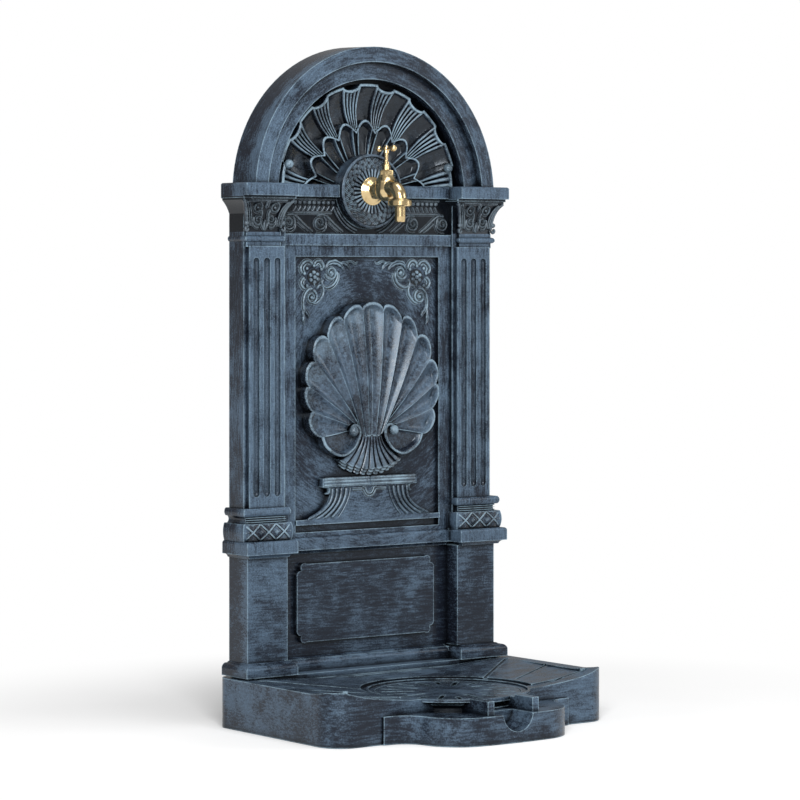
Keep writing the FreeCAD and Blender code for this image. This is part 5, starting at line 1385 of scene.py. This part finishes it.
@dataclass
class BaseCarving:
    """The lattice of crossing bands over pillows on the cushion of each pilaster's base, and the lines above it."""

    middle: float = 148.95
    half_width: float = 31.4
    front: float = 41.0
    rear: float = -37.0
    low: float = 207.4
    high: float = 225.4
    crossings: int = 3
    band: float = 0.1
    band_height: float = 1.1
    pillow_height: float = 1.7
    neck_lines: Place = (227.4, 229.9, 232.4)
    neck_depth: float = 35.4

    def lattice(self, shape: Shape, side: float) -> None:
        """One front as a height field.

        The bands lie where the place along the face plus or minus the share of the height is a whole
        number. Between them the height swells with the distance from both.
        """
        along = np.linspace(0.0, 1.0, 241)[None, :]
        up = np.linspace(0.0, 1.0, 73)[:, None]
        place = along * self.crossings
        first, second = place - up, place + up
        from_band = np.minimum(np.abs(first - np.round(first)), np.abs(second - np.round(second)))
        line = smooth(from_band, self.band, 0.45 * self.band)
        pillow = smooth(from_band, self.band, 0.5)
        cushion = 1.6 * (2.0 * up - 1.0) ** 2 + 2.4 * np.abs(2.0 * along - 1.0) ** 8
        height = self.front - cushion + 0.35 + self.band_height * line + self.pillow_height * pillow
        x = side * (self.middle + (2.0 * along - 1.0) * self.half_width)
        wear_and_shade = np.maximum(0.75 * line, 0.45 * smooth(pillow, 0.55, 0.95))
        # Painted shade: the hollows beside the bands and the bottom of the cushion are left unpainted and darkened.
        wear_and_shade = np.where(line > 0.3, 0.75 * line, wear_and_shade - smooth(from_band, 2.0 * self.band, self.band))
        wear_and_shade = wear_and_shade - 0.9 * smooth(up, 0.12, 0.0)
        shape.relief(stack(x, -height, self.low + (self.high - self.low) * up), self.rear, wear_and_shade=wear_and_shade)

    def build(self, shop: Workshop) -> None:
        """Builds both fronts as one piece."""
        shape = Shape()
        for side in SIDES:
            self.lattice(shape, side)
            x = side * (self.middle + np.linspace(-1.0, 1.0, 12) * (self.half_width - 3.0))
            for height in self.neck_lines:
                shape.rod(stack(x, -self.neck_depth, height), 0.7, 1.2, sides=8, wear_and_shade=0.6)
        shop.fit(shape, "base_carving", Paint.CARVED)


@dataclass
class Tap:
    """The tap's casting and its bonnet: a domed wall flange, a round-bellied chamber and a spout that bends down.

    Turned profiles are (radius, place along the axis). The bonnet's levels are (height, change of radius).
    """

    height: float = 597.2
    flange: Line = ((0.0, 19.0), (9.6, 19.0), (10.4, 18.2), (10.4, -31.0), (15.9, -31.0), (16.35, -31.5),
                    (16.35, -33.5), (15.9, -34.0), (14.6, -34.5), (12.6, -36.0), (10.8, -37.6), (9.4, -38.4),
                    (8.4, -39.6), (8.2, -41.4), (9.0, -42.4), (9.0, -43.6), (8.2, -44.6), (7.9, -52.0), (0.0, -54.0))
    chamber_reach: float = 59.6
    chamber: Line = ((0.0, 585.2), (4.0, 585.5), (8.0, 587.0), (11.0, 590.2), (12.8, 594.6), (13.2, 599.0),
                     (12.8, 603.4), (12.0, 606.4), (12.3, 607.4), (12.1, 608.6), (11.0, 609.8), (9.8, 612.0),
                     (8.8, 614.2), (8.6, 614.9), (0.0, 615.0))
    spout: tuple[Place, ...] = ((0.0, -62.0, 599.0), (0.0, -70.0, 600.2), (0.0, -77.6, 599.0), (0.0, -83.0, 594.6),
                                (0.0, -85.6, 588.6), (0.0, -85.7, 584.6))
    spout_radii: tuple[float, ...] = (10.6, 9.6, 8.6, 7.9, 7.5, 7.5)
    spout_steps: int = 44
    outlet_reach: float = 85.7
    outlet: Line = ((0.0, 588.4), (7.6, 588.3), (9.6, 587.6), (10.3, 586.8), (10.3, 583.2), (0.0, 583.0))
    bonnet_radius: float = 8.3
    bonnet_levels: Line = ((614.4, -0.9), (614.9, 0.0), (619.3, 0.0), (620.0, -0.5), (620.5, -1.2))
    neck: Line = ((0.0, 606.2), (6.6, 606.2), (6.6, 614.6), (3.3, 620.2), (3.3, 625.0), (0.0, 625.0))

    def casting(self, shop: Workshop) -> None:
        """The flange and neck turned about the depth axis, the chamber about the upright, and the spout's rod."""
        shape = Shape()
        shape.turned(self.flange, (0.0, 0.0, self.height), 56)
        shape.turned(self.chamber, (0.0, -self.chamber_reach, 0.0), 56, axis="z")
        share = np.linspace(0.0, 1.0, self.spout_steps)
        radii = np.interp(share, np.linspace(0.0, 1.0, len(self.spout_radii)), self.spout_radii)
        shape.rod(spline(self.spout, self.spout_steps), radii, sides=36, up=(1.0, 0.0, 0.0), rounded=False)
        shape.turned(self.outlet, (0.0, -self.outlet_reach, 0.0), 48, axis="z")
        shop.fit(shape, "tap_casting", Paint.BRASS, ("tap_body",), 50.0)

    def hexagon(self, shop: Workshop) -> None:
        """The bonnet's hexagon, whose corners are rounded off at the top, and the neck that the spindle leaves."""
        shape = Shape()
        turn = np.linspace(0.0, 2.0 * np.pi, 72, endpoint=False)[None, :]
        from_flat = np.mod(turn, np.pi / 3.0) - np.pi / 6.0
        flats = self.bonnet_radius * math.cos(math.pi / 6.0) / np.cos(from_flat)
        height, change = np.array(self.bonnet_levels).T[..., None]
        reach = np.minimum(flats, self.bonnet_radius + change)
        reach = np.concatenate([0.0 * turn, reach, 0.0 * turn])
        height = np.concatenate([height[:1], height, height[-1:]])
        shape.grid(stack(reach * np.cos(turn), reach * np.sin(turn) - self.chamber_reach, height), around=True)
        shape.turned(self.neck, (0.0, -self.chamber_reach, 0.0), 32, axis="z")
        shop.fit(shape, "tap_bonnet", Paint.BRASS, ("bonnet", "bonnet_washer"), 30.0)

    def build(self, shop: Workshop) -> None:
        """Builds the casting and the bonnet."""
        self.casting(shop)
        self.hexagon(shop)


# Studio
@dataclass(frozen=True)
class Lamp:
    """A square soft lamp that points from its place to its aim, in metres and watts."""

    name: str
    place: Place
    aim: Place
    size: float
    power: float


@dataclass
class Studio:
    """A pale floor, a white background, soft lamps and the camera, in metres and degrees."""

    camera_place: Place = (-2.1387, -2.80815, 0.5016)
    camera_turn: float = 36.847
    lens: float = 142.46
    sensor: float = 36.0
    shift: float = -0.1562
    far: float = 100.0
    floor_half: float = 12.0
    floor_drop: float = 0.0004
    floor_colours: tuple[Colour, Colour] = ((0.9, 0.9, 0.9), (0.93, 0.93, 0.93))
    shadow_zone: Point = (0.35, 0.75)
    world_light: float = 0.35
    lamps: tuple[Lamp, ...] = (
        Lamp("key", (-1.9, -2.6, 1.7), (0.0, 0.0, 0.35), 1.5, 140.0),
        Lamp("side", (2.6, -2.0, 1.4), (0.0, 0.0, 0.35), 1.4, 22.0),
        Lamp("top", (0.0, -0.8, 3.0), (0.0, 0.0, 0.4), 1.4, 26.0))

    def place(self, name: str, data: bpy.types.ID, where: Place, lean: float, turn: float) -> bpy.types.Object:
        """Adds a camera or lamp, leant forward from straight down and then turned about the upright."""
        made = bpy.data.objects.new(name, data)
        made.location = where
        made.rotation_euler = (lean, 0.0, turn)
        bpy.context.scene.collection.objects.link(made)
        return made

    def camera(self) -> None:
        """Adds the camera, level and turned to the photograph's viewing angle."""
        data = bpy.data.cameras.new("camera")
        data.lens = self.lens
        data.sensor_width = self.sensor
        data.shift_y = self.shift
        data.clip_end = self.far
        turn = math.radians(-self.camera_turn)
        bpy.context.scene.camera = self.place("camera", data, self.camera_place, math.radians(90.0), turn)

    def light(self, lamp: Lamp) -> None:
        """Adds a lamp."""
        data = bpy.data.lights.new(lamp.name, "AREA")
        data.energy = lamp.power
        data.size = lamp.size
        x, y, z = np.array(lamp.aim) - np.array(lamp.place)
        self.place(lamp.name, data, lamp.place, math.atan2(math.hypot(x, y), -z), math.atan2(-x, y))

    def seen_by(self, graph: Graph, *rays: str) -> Socket:
        """1 for rays of the given kinds, else 0."""
        path = graph.add("ShaderNodeLightPath").outputs
        seen = path[f"Is {rays[0]} Ray"]
        for ray in rays[1:]:
            seen = graph.plus(seen, path[f"Is {ray} Ray"], clamp=True)
        return seen

    def background(self) -> None:
        """A world that is white to the camera, and plain grey to the faces and their reflections."""
        world = bpy.data.worlds.new("background")
        bpy.context.scene.world = world
        world.use_nodes = True
        graph = Graph(world.node_tree)
        shown = world.node_tree.nodes["Background"]
        graph.feed(shown, "Color", WHITE)
        seen = self.seen_by(graph, "Camera", "Transmission")
        graph.feed(shown, "Strength", graph.span(seen, 0.0, 1.0, self.world_light, 1.0))

    def floor(self) -> None:
        """A wide pale floor, which is plain white to the camera and in reflections away from the fountain."""
        shape = Shape()
        edge = np.array(SIDES) * self.floor_half * 1000.0
        shape.grid(stack(edge[None, :], edge[:, None], -1000.0 * self.floor_drop))
        floor = shape.build("floor")
        coat = Coat("pale_floor")
        cloud = coat.span(coat.noise(coat.place, 3.0, 2.0, 0.5), 0.3, 0.7)
        darker, lighter = ((*colour, 1.0) for colour in self.floor_colours)
        coat.shade(Base_Color=coat.colour(cloud, darker, lighter), Roughness=0.9, Specular_IOR_Level=0.0)
        away = coat.span(coat.length(coat.moved(coat.place, (1.0, 1.0, 0.0))), *self.shadow_zone)
        plain = coat.times(self.seen_by(coat, "Camera", "Glossy", "Transmission"), away)
        glow = coat.add("ShaderNodeEmission", Color=WHITE, Strength=1.0)
        mixed = coat.add("ShaderNodeMixShader")
        for key, value in enumerate((plain, coat.shader.outputs["BSDF"], glow.outputs["Emission"])):
            coat.feed(mixed, key, value)
        coat.feed(coat.tree.nodes["Material Output"], "Surface", mixed.outputs[0])
        floor.data.materials.append(coat.material)

    def build(self) -> None:
        """Sets the view transform and adds camera, floor, background and lamps."""
        bpy.context.scene.view_settings.view_transform = "Standard"
        self.camera()
        self.floor()
        self.background()
        for lamp in self.lamps:
            self.light(lamp)


def main() -> None:
    """Builds the fountain's pieces in order and sets up the studio."""
    logging.basicConfig(level=logging.INFO, format="%(message)s")
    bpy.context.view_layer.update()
    shop = Workshop()
    shop.dress_nodes()
    for piece in (Fans(), Scallop(), Rosette(), CornerOrnaments(), Frieze(), Capitals(), ConsoleCarving(),
                  BaseCarving(), Tap()):
        piece.build(shop)
    Studio().build()
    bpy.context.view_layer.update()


if __name__ == "__main__":
    main()
